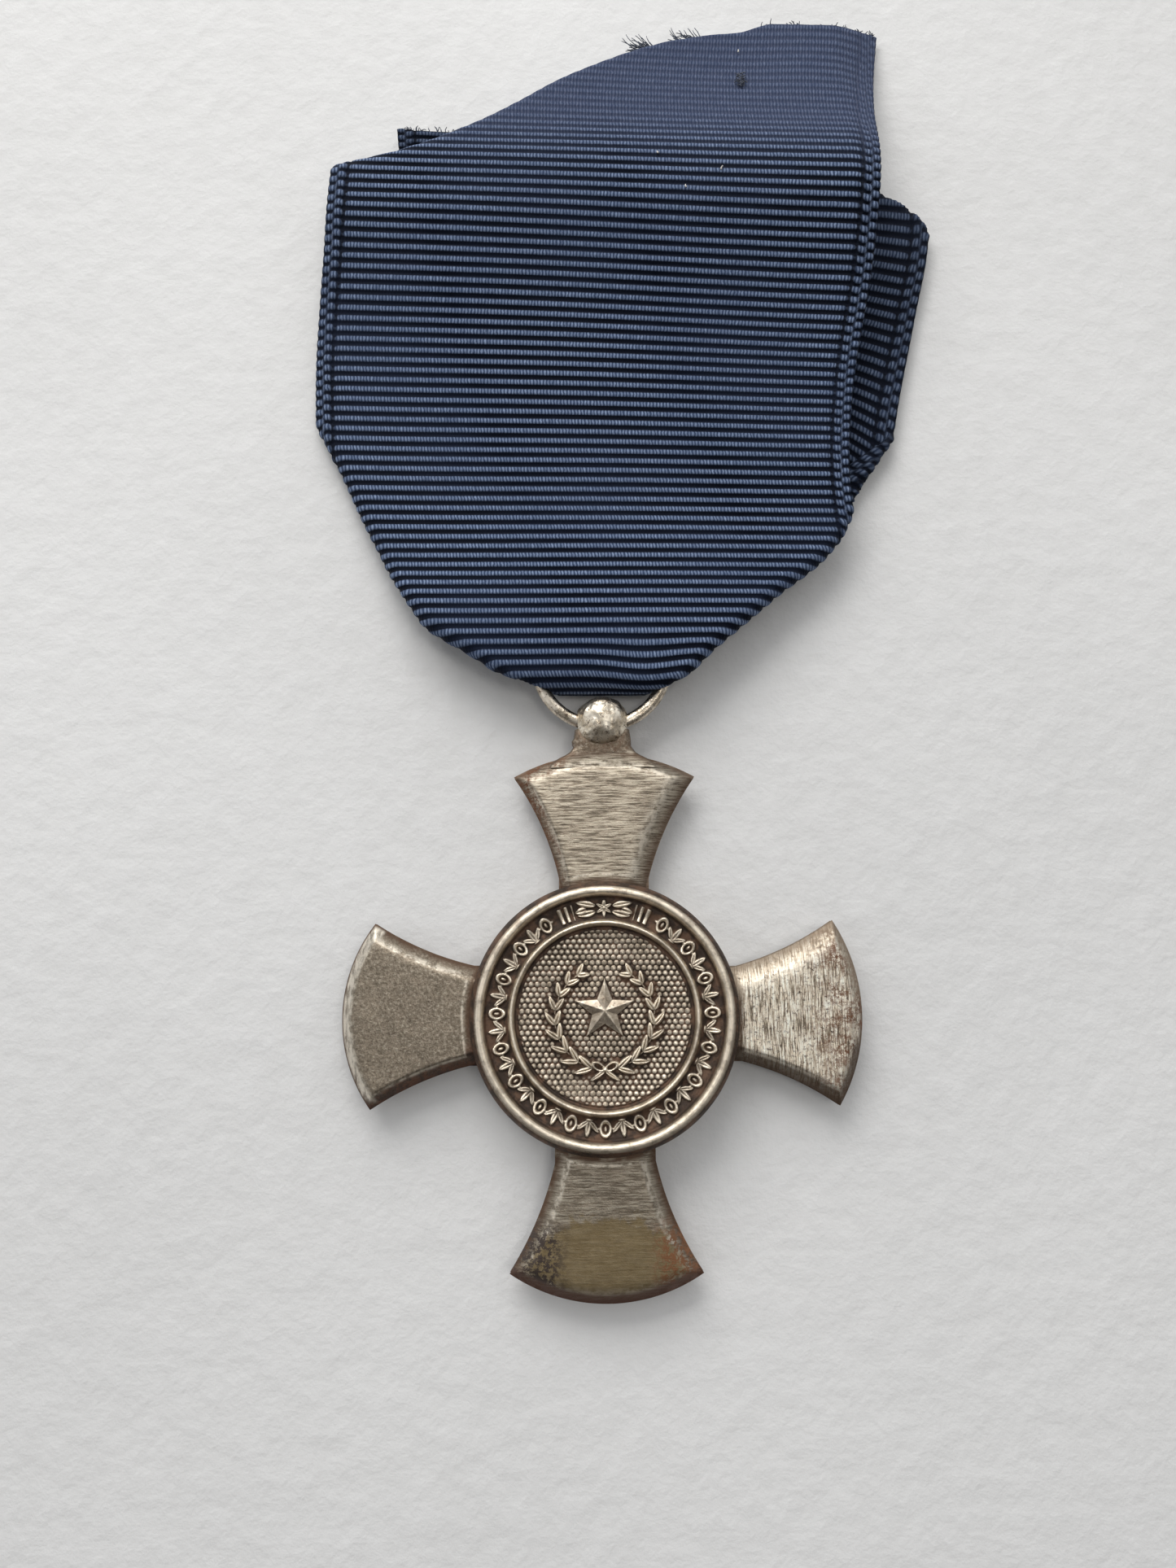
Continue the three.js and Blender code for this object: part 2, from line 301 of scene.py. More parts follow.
ARMS = (ARM_RIGHT, ARM_TOP, ARM_LEFT, ARM_BOTTOM)

NECK_HALF_WIDTH = [(14.4, 3.2), (14.9, 2.75), (15.25, 2.1), (15.6, 1.78), (16.2, 1.7), (16.7, 1.62)]
NECK_HALF_THICKNESS = [(14.4, 0.6), (15.2, 0.66), (16.2, 0.74), (16.7, 0.72)]


def neck():
    """The tab under the ball: nearly square in section, with a small lump on its left side."""
    rings = []
    squareness = 0.45
    angles = np.linspace(0, TAU, 64, endpoint=False)
    c, s = np.cos(angles), np.sin(angles)
    for y in np.linspace(14.4, 16.7, 24):
        x = curve(NECK_HALF_WIDTH, y) * np.sign(c) * np.abs(c) ** squareness
        z = NECK_Z + curve(NECK_HALF_THICKNESS, y) * np.sign(s) * np.abs(s) ** squareness
        ring = xyz(x, y, z)
        lump = 0.14 * np.exp(-(((y - 15.95) / 0.16) ** 2)) * (c < -0.8) * (s > -0.5)
        ring[:, 0] += (0.04 * noise(ring, 0.5, 21, 2) + lump) * np.sign(c)
        ring[:, 2] += 0.03 * noise(ring, 0.4, 22, 2)
        rings.append(ring)
    return loft_rings(rings, "neck")


def hub():
    profile = [(BACK_Z, 7.2), (0.8, 7.42), (1.0, 7.45), (1.9, 7.45), (2.0, 7.38), (2.05, 7.2)]
    return turned("hub", profile, 160)


def joined(name, solids):
    """One piece from solids that run into each other."""
    base = solids[0]
    for other in solids[1:]:
        modifier = base.modifiers.new("join", "BOOLEAN")
        modifier.operation = "UNION"
        modifier.solver = "MANIFOLD"
        modifier.object = other
    view = bpy.context.evaluated_depsgraph_get()
    mesh = bpy.data.meshes.new_from_object(base.evaluated_get(view))
    mesh.name = name
    mesh.materials.clear()
    obj = scene_object(name, mesh)
    for solid in solids:
        bpy.data.objects.remove(solid, do_unlink=True)
    mesh.shade_smooth()
    mesh.set_sharp_from_angle(angle=math.radians(50))
    return obj


def cross():
    """The struck cross, with an edge value from 0 on the flat tops to 1 at the outline."""
    solids = [hub()] + [arm.solid(f"arm_{k}") for k, arm in enumerate(ARMS)] + [neck()]
    obj = joined("cross_body", solids)
    x, y, z = coords(obj).T
    edge = np.zeros(len(x))
    for arm in ARMS:
        u, v = arm.local(x, y)
        edge = np.where(u > np.abs(v) * 1.05, 1 - np.clip(arm.bevel(u, v), 0, 1), edge)
    edge = np.maximum(edge, 0.9 * (1 - smoothstep(np.hypot(x, y), 7.7, 8.3)))
    edge = np.where(z < EDGE_Z - 0.05, 1, edge)
    edge = np.where((y > NECK_START) & (z > NECK_Z + 0.3), 0.66, edge)
    attribute(obj, "edge", edge)
    x, y, _ = np.array([p.center for p in obj.data.polygons]).T / MM
    region = np.zeros(len(x), np.int32)
    for k, arm in enumerate(ARMS):
        u, v = arm.local(x, y)
        region[(u > np.abs(v)) & (u > 6.5)] = k
    region[y > NECK_START + 0.05] = len(ARMS)
    obj.data.polygons.foreach_set("material_index", region)
    return obj


# ---- the medallions

RIM_PROFILE = [
    (0.0, 2.72), (4.86, 2.72), (5.0, 2.75), (5.1, 2.98), (5.2, 3.12), (5.32, 3.1), (5.44, 2.9), (5.55, 2.78),
    (6.55, 2.78), (6.68, 2.82), (6.8, 3.06), (6.95, 3.25), (7.08, 3.28), (7.25, 3.2), (7.42, 3.02),
    (7.55, 2.76), (7.63, 2.46), (7.66, 2.2),
]
MEDALLION_RADIUS = 7.66
MEDALLION_SKIRT = [(MEDALLION_RADIUS, 2.14), (7.55, 2.1), (4.0, 2.1)]
REAR_PROFILE = [
    (0.0, 0.02), (0.02, 6.35), (0.06, 6.42), (0.02, 6.5), (0.0, 6.6), (0.01, 6.95), (0.08, 7.15),
    (0.2, 7.32), (0.4, 7.4), (0.6, 7.4), (0.62, 7.2), (0.62, 0.02),
]
BAND_MIDDLE = 6.06
BEAD_PITCH = 0.345


def own_axes(x, y, centre, angle):
    """Distances from a centre along a direction and across it."""
    c, s = math.cos(angle), math.sin(angle)
    dx, dy = x - centre[0], y - centre[1]
    return dx * c + dy * s, dy * c - dx * s


def leaf(x, y, base, angle, length, width):
    """A pointed leaf's height from 0 to 1, with a sunk midrib."""
    p, q = own_axes(x, y, base, angle)
    p = p / length
    half = 0.5 * width * np.sin(math.pi * np.clip(p, 0, 1) ** 0.85) ** 0.8 + 1e-6
    return dome(q / half) * ((p > 0) & (p < 1)) * (1 - 0.45 * np.exp(-((q / (0.09 * width)) ** 2)))


def oval(x, y, centre, angle, length, width):
    p, q = own_axes(x, y, centre, angle)
    return dome(np.hypot(p / (length / 2), q / (width / 2)))


def ring_line(x, y, centre, angle, length, width, thick):
    p, q = own_axes(x, y, centre, angle)
    away = (np.hypot(p / (length / 2), q / (width / 2)) - 1) * min(length, width) / 2
    return dome(away / thick)


def bar(x, y, centre, angle, length, width):
    p, q = own_axes(x, y, centre, angle)
    return smoothstep(-np.maximum(np.abs(p) - length / 2, np.abs(q) - width / 2), 0, 0.07)


def star(x, y, centre, outer, inner):
    dx, dy = x - centre[0], y - centre[1]
    turn = np.arctan2(dx, dy)
    sector = TAU / 5
    fold = np.abs((turn + sector / 2) % sector - sector / 2)
    radius = np.hypot(dx, dy)
    px, py = radius * np.cos(fold), radius * np.sin(fold)
    qx, qy = inner * math.cos(sector / 2), inner * math.sin(sector / 2)
    nx, ny = qy, outer - qx
    norm = math.hypot(nx, ny)
    inside = ((outer - px) * nx - py * ny) / norm
    peak = outer * nx / norm
    return np.clip(inside / peak, 0, 1) * 0.75 + 0.35 * smoothstep(inside, 0, 0.06)


def band_point(degrees, radius):
    a = math.radians(degrees)
    return (radius * math.sin(a), radius * math.cos(a)), math.pi / 2 - a


def highest(shapes):
    height = 0.0
    for shape in shapes:
        height = np.maximum(height, shape)
    return height


def band_ornament(x, y):
    """Beads and three-leaf sprigs round the band, and a rosette between leaves at its top."""
    start, count = 28.5, 33
    step = (360 - 2 * start) / count
    for k in range(count):
        degrees = start + step * (k + 0.5)
        centre, outward = band_point(degrees, BAND_MIDDLE)
        if k % 2 == 0:
            yield 0.95 * ring_line(x, y, centre, outward, 0.74, 0.54, 0.1)
            yield 0.85 * oval(x, y, centre, outward, 0.4, 0.22)
            for side in (-1, 1):
                tail, _ = band_point(degrees + side * 3.3, BAND_MIDDLE)
                yield 0.75 * oval(x, y, tail, outward, 0.2, 0.32)
        else:
            foot, _ = band_point(degrees, BAND_MIDDLE - 0.42)
            yield leaf(x, y, foot, outward, 0.95, 0.42)
            for side in (-1, 1):
                low, _ = band_point(degrees + side * 0.5, BAND_MIDDLE - 0.36)
                yield leaf(x, y, low, outward - side * 0.8, 0.78, 0.36)
            yield 0.9 * oval(x, y, foot, outward, 0.14, 0.5)
    bars = ((23.6, 0.3), (20.1, 0.26), (16.9, 0.11))
    leaves = ((4.4, 6.22, 0.22, 1.15), (4.4, 5.9, -0.18, 1.1), (9.2, 6.08, -0.18, 0.72))
    for side in (-1, 1):
        for degrees, width in bars:
            centre, outward = band_point(side * degrees, BAND_MIDDLE)
            yield 0.95 * bar(x, y, centre, outward, 0.98, width)
        for degrees, radius, lean, size in leaves:
            centre, outward = band_point(side * degrees, radius)
            yield leaf(x, y, centre, outward + side * (lean - math.pi / 2), size, 0.5)
    centre, outward = band_point(0, BAND_MIDDLE)
    for k in range(6):
        yield leaf(x, y, centre, outward + k * TAU / 6, 0.5, 0.26)
    yield 1.1 * oval(x, y, centre, 0, 0.26, 0.26)


def emblem(x, y):
    """A faceted star between two laurel sprigs tied at the foot."""
    yield 1.15 * star(x, y, (0, 0.35), 1.85, 0.8)
    for side in (-1, 1):
        for k in range(9):
            turn = math.radians(-76 + 16.4 * k)
            radius = 2.95 - 0.03 * k
            base = (side * radius * math.cos(turn), radius * math.sin(turn) + 0.05)
            along = turn + math.pi / 2
            for lean in (-0.5, 0.5):
                angle = along + lean if side > 0 else math.pi - along - lean
                yield leaf(x, y, base, angle, 1.05 - 0.035 * k, 0.44)
            yield 0.55 * oval(x, y, base, side * along, 0.7, 0.1)
        yield leaf(x, y, (0, -2.95), math.pi / 2 - side * 2.15, 1.0, 0.34)
        yield 0.9 * ring_line(x, y, (side * 0.36, -2.72), side * 0.5, 0.7, 0.36, 0.075)
    yield 1.05 * oval(x, y, (0, -2.9), 0, 0.36, 0.3)


def beads(x, y):
    """Rows of round beads, each row half a pitch aside from the next."""
    row = BEAD_PITCH * math.sqrt(3) / 2
    best = np.full_like(x, 9.0)
    j = np.round(y / row)
    for dj in (-1, 0, 1):
        jj = j + dj
        offset = 0.5 * (jj % 2)
        i = np.round(x / BEAD_PITCH - offset)
        best = np.minimum(best, np.hypot(x - (i + offset) * BEAD_PITCH, y - jj * row))
    return dome(best / 0.165)


def medallion_height(x, y, r):
    """The struck face: the turned rim and channel, the beaded field, the emblem and the band's ornament."""
    flat = xyz(x, y, 0)
    field = 1 - smoothstep(r, 4.8, 4.95)
    band = smoothstep(r, 5.5, 5.58) * (1 - smoothstep(r, 6.56, 6.66))
    field_wear = 0.75 + 0.25 * noise(flat, 1.6, 31, 2)
    band_wear = 0.85 + 0.15 * noise(flat, 1.1, 35)
    relief = field * np.maximum(0.1 * beads(x, y) * field_wear, 0.3 * highest(emblem(x, y)))
    relief = np.maximum(relief, 0.24 * highest(band_ornament(x, y)) * band * band_wear)
    dents = 0.012 * noise(flat, 0.9, 41, 2) + 0.006 * noise(flat, 0.22, 43, 2)
    return curve(RIM_PROFILE, r) + relief + dents


def hollows(z, r):
    """0 on a crest to 1 in a hollow, from each point's height against its surroundings."""
    blur = z.copy()
    for shift in (2, 4, 6):
        blur = (blur + np.roll(blur, shift, 1) + np.roll(blur, -shift, 1)) / 3
        inner = np.concatenate([blur[:1].repeat(shift, 0), blur[:-shift]])
        outer = np.concatenate([blur[shift:], blur[-1:].repeat(shift, 0)])
        blur = (blur + inner + outer) / 3
    cavity = np.clip(0.5 - (z - blur) / 0.12, 0, 1)
    rim_side = 0.85 * smoothstep(r, 7.1, 7.4)
    rim_foot = 0.75 * np.exp(-(((r - 6.73) / 0.11) ** 2))
    return np.maximum(cavity, np.maximum(rim_side, rim_foot))


def medallion():
    segments = 864
    r = np.linspace(0.03, MEDALLION_RADIUS, 230)[:, None]
    a = np.linspace(0, TAU, segments, endpoint=False)
    x, y = r * np.cos(a), r * np.sin(a)
    z = medallion_height(x, y, r)
    skirt = [xyz(radius * np.cos(a), radius * np.sin(a), height) for radius, height in MEDALLION_SKIRT]
    obj = loft_rings([*xyz(x, y, z), *skirt], "medallion")
    tail = np.full(len(skirt) * segments + 2, 0.8)
    tail[-2] = 0.5
    attribute(obj, "cavity", np.concatenate([hollows(z, r).ravel(), tail]))
    return obj


def rear_medallion():
    return turned("rear_medallion", REAR_PROFILE, 180)


# ---- the ball and the ring

BALL_Y = 17.2
BALL_RADIUS = 1.65
BORE_RADIUS = 0.62
RING_Y = 20.92
RING_RADIUS = 3.9
WIRE_RADIUS = 0.38
RING_SPLIT_AT = 0.9
HALF_SPLIT = 0.03
PART_Z = 1.65


def ball():
    """A slightly dented ball with a bore along X."""
    angles = np.linspace(0, TAU, 160, endpoint=False)
    start = math.asin(BORE_RADIUS / BALL_RADIUS) + 0.04
    turns = np.linspace(start, math.pi - start, 90)
    profile = [(BALL_RADIUS * math.cos(t), BALL_RADIUS * math.sin(t)) for t in turns]
    mouth = BALL_RADIUS * math.cos(start) - 0.05
    profile += [(k * mouth, BORE_RADIUS) for k in np.linspace(-1, 1, 12)]
    rings = []
    for x, radius in profile:
        ring = xyz(x, radius * np.cos(angles), radius * np.sin(angles))
        swell = 0.035 * noise(ring + 7, 0.75, 51, 2) + 0.016 * noise(ring + 3, 0.25, 53, 2)
        if radius > BORE_RADIUS + 0.01:
            ring = ring * (0.97 + swell)[:, None]
        rings.append(ring + np.array([0, BALL_Y, PART_Z]))
    rings = np.array(rings)
    return piece("ball", rings.reshape(-1, 3), grid_quads(*rings.shape[:2], close_rows=True, close_cols=True))


def ring():
    around = np.linspace(0, TAU, 28, endpoint=False)[:, None]
    rings = []
    for angle in np.linspace(RING_SPLIT_AT + HALF_SPLIT, RING_SPLIT_AT + TAU - HALF_SPLIT, 320):
        out = np.array([math.cos(angle), math.sin(angle), 0])
        centre = RING_RADIUS * out + np.array([0, RING_Y, PART_Z])
        circle = centre + WIRE_RADIUS * (np.cos(around) * out + np.sin(around) * np.array([0, 0, 1]))
        bump = 0.012 * noise(circle, 0.5, 61, 2)
        rings.append(circle + (circle - centre) * bump[:, None] / WIRE_RADIUS)
    return loft_rings(rings, "ring")


# ---- the ribbon

TAPE_HALF = 17.5
SELVEDGE = 1.3
RIB = 0.64
ROWS_PER_RIB = 6
ROLL_Y = 20.4
ROLL_Z = 1.65
ROLL_RADIUS = 1.25
FRONT_FOLD_RADIUS = 0.42
BACK_FOLD_RADIUS = 0.26
NARROW_ROOM = 0.25
WIDE_ROOM = 30.0

# The front half hangs from the roll at the ring to its cut end. Each table runs along y.
FRONT_Z = [
    (20.4, 2.9), (22.5, 2.87), (24.5, 2.68), (27, 2.15), (30, 1.85), (34, 1.8), (38, 1.85), (43, 2.3),
    (48, 3.35), (51, 3.95), (53.5, 3.9), (58, 2.8), (62, 1.95), (66.5, 1.25),
]
FRONT_TILT = [
    (20.4, 0), (24, 0.0), (28, 0.02), (38, 0.032), (45, 0.055), (52, 0.062), (58, 0.03), (63, 0.0), (66, 0),
]
FRONT_CENTRE = [
    (20.4, -0.5), (28, -0.7), (34, -1.2), (40, -1.1), (47.5, -0.25), (53, 0.2), (60, 0.7), (66.5, 1.8),
]
FRONT_SPREAD = [(20.4, 0.93), (34, 0.95), (40, 0.975), (47.5, 0.995), (53, 1.0), (66, 1.0)]
FRONT_LEAN = [(20.4, 0), (24, 0.4), (34, 2.1), (44, 4.3), (54, 5.5), (60, 4.8), (66, 1.6)]
FRONT_LEFT = [
    (20.4, 6.4), (21.2, 7.6), (22.0, 8.9), (22.9, 10.3), (24.2, 11.3), (26.1, 12.5), (28.6, 13.8),
    (31.0, 15.0), (33.0, 15.9), (34.4, 16.6), (36, 17.4), (37.5, 18.4), (40, 21), (70, 40),
]
FRONT_RIGHT = [
    (20.4, 5.4), (21.5, 6.5), (22.8, 8.0), (24, 9.4), (25.3, 10.9), (27.3, 13.4), (28.7, 14.6),
    (30.0, 15.3), (32, 16.8), (36, 22), (70, 40),
]
FRONT_END = 65.2
FRONT_LENGTH = 46.6
CORNER_FOLD = [
    (-18, 54.2), (-16, 54.7), (-13.1, 55.4), (-8.5, 57.5), (-5.6, 59.3), (-2.5, 61.5), (0.2, 63.0),
    (2.9, 64.2), (5.2, 64.9), (7.5, 65.3), (9.9, 65.6), (13, 67.0), (20, 71),
]

# The back half lies under the front, leans to the right and has its right corner turned over.
BACK_CENTRE = [
    (20.4, 0), (30, 0.1), (36, 0.6), (39.4, 1.2), (43.4, 2.1), (48.3, 3.5), (53.1, 4.5), (56, 4.25),
    (60, 4.0),
]
BACK_LEAN = [(20.4, 0), (28, 6), (36, 13), (50, 11.5), (57, 0.5), (60, -1)]
BACK_LEFT = [
    (20.4, 4.6), (22, 6.6), (24, 8.8), (27, 11.0), (30, 12.9), (33, 14.4), (35, 15.6), (37, 17.4), (40, 24),
    (60, 40),
]
BACK_RIGHT = [
    (20.4, 4.2), (22, 5.9), (24, 8.0), (27, 10.9), (30, 14.0), (31.5, 15.6), (33, 16.6), (35, 17.9),
    (37, 19.4), (60, 40),
]
BACK_LENGTH = 37.8
DOG_EAR_AT = (22.0, 50.0)
DOG_EAR_LEAN = math.radians(30)
DOG_EAR = [
    (-1.3, -2.8), (-0.66, -1.3), (-0.2, -0.4), (0.6, 0.5), (1.8, 1.15), (2.9, 1.4), (4.5, 1.45), (8, 1.3),
    (14, 1.1),
]

# The roll's half widths at its left and right, from the back (0) over the ring's wire to the front (1).
ROLL_LEFT = [(0, 4.6), (0.25, 3.4), (0.5, 2.85), (0.7, 3.9), (0.85, 5.4), (1, 6.4)]
ROLL_RIGHT = [(0, 4.2), (0.25, 3.3), (0.5, 2.85), (0.7, 3.6), (0.85, 4.7), (1, 5.4)]


def wrapped(past, radius, room):
    """How far out and how far behind a point lies that is past a fold, with the flap squeezed into room."""
    half_turn = math.pi * radius
    turn = np.clip(past, 0, half_turn) / radius
    flap = np.maximum(past - half_turn, 0)
    flap = room * (1 - np.exp(-flap / room))
    out = np.where(past < half_turn, radius * np.sin(turn), -flap)
    return np.where(past > 0, out, past), np.where(past > 0, radius * (1 - np.cos(turn)), 0)


def slope_of(table, x):
    return (curve(table, x + 0.05) - curve(table, x - 0.05)) / 0.1


def folded(x, y, table, radius, room, slant=1.0):
    """Turns what lies past the curve x = table(y) behind the tape: returns x, y and the depth behind."""
    foot = y + 0 * x
    for _ in range(10):
        slope = slope_of(table, foot) * slant
        foot = foot - 0.8 * (foot - y - (x - curve(table, foot)) * slope) / (1 + slope**2)
    slope = slope_of(table, foot) * slant
    edge = curve(table, foot)
    length = np.sqrt(1 + slope**2)
    past = (x - edge - (y - foot) * slope) / length + radius
    out, depth = wrapped(past, radius, room)
    moved = past > 0
    out = out - radius
    return np.where(moved, edge + out / length, x), np.where(moved, foot - out * slope / length, y), depth


def side_folds(x, y, left, right, radius, slant):
    """Folds both sides behind the tape, squeezed narrow near the ring."""
    edge = np.minimum(curve(left, y), curve(right, y))
    room = np.maximum(NARROW_ROOM, np.where(y < 26, edge - 5.3, 0.85 * edge))
    x, y, depth = folded(x, y, right, radius, room, slant)
    x, y, more = folded(-x, y, left, radius, room, slant)
    return -x, y, depth + more


def front_height(x, y):
    """The front half's height, with its swell, drooping sides, a soft ripple and a lifted right corner."""
    z = curve(FRONT_Z, y) + curve(FRONT_TILT, y) * x
    edge = np.maximum(np.abs(x + 0.3) - 16.2, 0) * smoothstep(y, 34, 38)
    ripple = 0.06 * np.sin(y * 0.33 + x * 0.12 + 1.0) * smoothstep(y, 26, 32) * (1 - smoothstep(y, 60, 65))
    lift = 0.25 * np.exp(-(((x - 14) / 3) ** 2) - ((y - 62) / 3) ** 2)
    return z + ripple - 0.16 * edge**1.5 + lift


def back_height(x, y):
    """The back half's height: raised under the turned corner, along its right side and at its left end."""
    ear = smoothstep(x, 8, 15) * smoothstep(y, 43, 49)
    rise = 0.35 * smoothstep(x, 12, 18) * smoothstep(y, 31, 38)
    left_end = 0.9 * smoothstep(-x, 3, 13) * smoothstep(y, 51, 58.5)
    return 0.3 + 0.45 * ear + rise * (1 - ear) + left_end


def sag_at(x):
    """The front's loop sags between the ring's two sides."""
    return 0.35 * np.exp(-(((x - 2.6) / 2.2) ** 2))


def front_half(length, across):
    """Mid-surface of the half above the ring, from the roll to the cut end."""
    y_fine = np.linspace(ROLL_Y, FRONT_END + 2, 900)
    z_fine = curve(FRONT_Z, y_fine)
    run = np.concatenate([[0], np.cumsum(np.hypot(np.diff(y_fine), np.diff(z_fine)))])
    y0 = np.interp(length, run, y_fine)[:, None]
    lean = np.radians(curve(FRONT_LEAN, y0))
    spread = curve(FRONT_SPREAD, y0)
    x = curve(FRONT_CENTRE, y0) + across * spread * np.cos(lean)
    y = y0 - across * spread * np.sin(lean)
    sag = sag_at(x) * (1 - smoothstep(y0, ROLL_Y, 23))
    slant = smoothstep(y0, ROLL_Y, 23)
    x, y, depth = side_folds(x, y, FRONT_LEFT, FRONT_RIGHT, FRONT_FOLD_RADIUS, slant)
    corner_radius = np.interp(x, [-16, -4, 6, 12], [0.9, 0.7, 0.4, 0.32])
    y, x, back = folded(y, x, CORNER_FOLD, corner_radius, WIDE_ROOM)
    return xyz(x, y - sag, front_height(x, y) - depth - back)


def back_half(length, across):
    """Mid-surface of the half below, from its cut end to the roll."""
    y0 = (ROLL_Y + length)[:, None]
    lean = np.radians(curve(BACK_LEAN, y0))
    x = curve(BACK_CENTRE, y0) + across * np.cos(lean)
    drop = np.maximum(across - 9, 0) ** 2 * smoothstep(y0, 26, 36) * (1 - smoothstep(y0, 36, 50)) * 0.75 / 17
    y = y0 - across * np.sin(lean) - drop
    y = np.maximum(y, 19.0 + 0.12 * (y0 - ROLL_Y))
    x, y, depth = side_folds(x, y, BACK_LEFT, BACK_RIGHT, BACK_FOLD_RADIUS, smoothstep(y0, ROLL_Y, 24))
    z = back_height(x, y) + depth
    c, t = math.cos(DOG_EAR_LEAN), math.sin(DOG_EAR_LEAN)
    dx, dy = x - DOG_EAR_AT[0], y - DOG_EAR_AT[1]
    out, beside, back = folded(dx * t + dy * c, dy * t - dx * c, DOG_EAR, 0.2, WIDE_ROOM)
    x = DOG_EAR_AT[0] + out * t - beside * c
    y = DOG_EAR_AT[1] + out * c + beside * t
    return xyz(x, y, np.maximum(z - back, 0.24))


def roll_part(turn, across):
    """Mid-surface of the roll through the ring; turn runs from 0 below to pi above."""
    turn = turn[:, None]
    x = across * (1 - 0.07 * smoothstep(turn, 0, math.pi)) - 0.5 * smoothstep(turn, 1.8, math.pi)
    at = turn / math.pi
    radius = BACK_FOLD_RADIUS + (FRONT_FOLD_RADIUS - BACK_FOLD_RADIUS) * at
    depth = 0 * x
    for sign, table in ((-1, ROLL_LEFT), (1, ROLL_RIGHT)):
        past = sign * x - (curve(table, at) - radius)
        out, back = wrapped(past, radius, NARROW_ROOM)
        x = x + sign * np.where(past > 0, out - past, 0)
        depth = depth + back
    sag = sag_at(x) * smoothstep(at, 0.45, 1.0)
    rise = ROLL_RADIUS + 0.1 * (1 - at)
    y = ROLL_Y - (ROLL_RADIUS - depth) * np.sin(turn) - sag
    return xyz(x, y, ROLL_Z - (rise - depth) * np.cos(turn))


def rib_relief(columns, s, total):
    """The cloth's half thickness, and its shade from 0 in a valley to 1 on a crest: painted light and shade
    of the ribs over the dark yarn.
    """
    phase = (s / RIB)[:, None]
    edge = TAPE_HALF - np.abs(columns)
    wander = 0.06 * np.sin(columns * 0.21 + phase * 0.05)
    shift = 0.15 * smoothstep(-edge, -1.15, -0.8) * np.sign(columns)
    cycle = (phase + wander + shift) % 1.0
    rib = dome(2 * cycle - 1)
    next_rib = dome(2 * ((cycle + 0.5) % 1.0) - 1)
    knots = np.maximum(rib * dome((edge - 0.8) / 0.45), next_rib * dome((edge - 0.28) / 0.42))
    selvedge = smoothstep(-edge, -1.22, -1.1)
    gap = np.exp(-(((edge - 1.2) / 0.09) ** 2))
    # Painted shade: valleys, the gap beside the selvedge and the knots' flanks come out dark, the crests and
    # knot tops light.
    knot_shade = (0.45 + 0.53 * knots) * (knots > 0)
    shade = (rib * (1 - selvedge) + knot_shade * selvedge) * (1 - 0.15 * gap)
    height = 0.045 + 0.185 * rib + 0.012 * noise(xyz(columns, phase * RIB, 0), 0.35, 71)
    height = (height * (1 - selvedge) + (0.05 + 0.21 * knots) * selvedge) * (1 - 0.3 * gap)
    flatten = 1 - 0.6 * smoothstep(s, total - 13, total - 8)[:, None]
    return 0.055 + (height - 0.055) * flatten, shade


def ribbon():
    """The whole tape from cut end to cut end round the ring, and the points of its outer face."""
    roll_length = math.pi * ROLL_RADIUS
    total = BACK_LENGTH + roll_length + FRONT_LENGTH
    rows = int(total / RIB) * ROWS_PER_RIB + 1
    s = np.linspace(0, total, rows)
    inner_edge = TAPE_HALF - SELVEDGE
    columns = np.concatenate([
        np.linspace(-TAPE_HALF, -inner_edge, 14)[:-1],
        np.linspace(-inner_edge, inner_edge, 118),
        np.linspace(inner_edge, TAPE_HALF, 14)[1:],
    ])
    in_back = s < BACK_LENGTH
    in_front = s > BACK_LENGTH + roll_length
    in_roll = ~in_back & ~in_front
    middle = np.concatenate([
        back_half(BACK_LENGTH - s[in_back], columns),
        roll_part((s[in_roll] - BACK_LENGTH) / ROLL_RADIUS, columns),
        front_half(s[in_front] - BACK_LENGTH - roll_length, columns),
    ])
    normal = np.cross(np.gradient(middle, axis=1), np.gradient(middle, axis=0))
    normal /= np.linalg.norm(normal, axis=-1, keepdims=True) + 1e-12
    height, shade = rib_relief(columns, s, total)
    outer = middle + normal * height[..., None]
    inner = middle - normal * height[..., None]
    points = np.concatenate([outer.reshape(-1, 3), inner.reshape(-1, 3)])
    points[:, 2] = np.maximum(points[:, 2], 0.0)
    quads = grid_quads(*shade.shape)
    n = shade.size
    loop = border(*shade.shape)
    rim = np.stack([loop, np.roll(loop, -1), np.roll(loop, -1) + n, loop + n], -1)
    obj = piece("ribbon_tape", points, np.concatenate([quads, quads[:, ::-1] + n, rim]))
    along = s[:, None]
    # Painted light: marks the front's last stretch, which faces the lamp, to be painted paler.
    pale = smoothstep(along, total - 14, total - 8)
    for name, values in (("rib", shade), ("across", columns), ("along", along), ("pale", pale)):
        attribute(obj, name, np.tile(np.broadcast_to(values, shade.shape).ravel(), 2))
    return obj, outer


# ---- materials


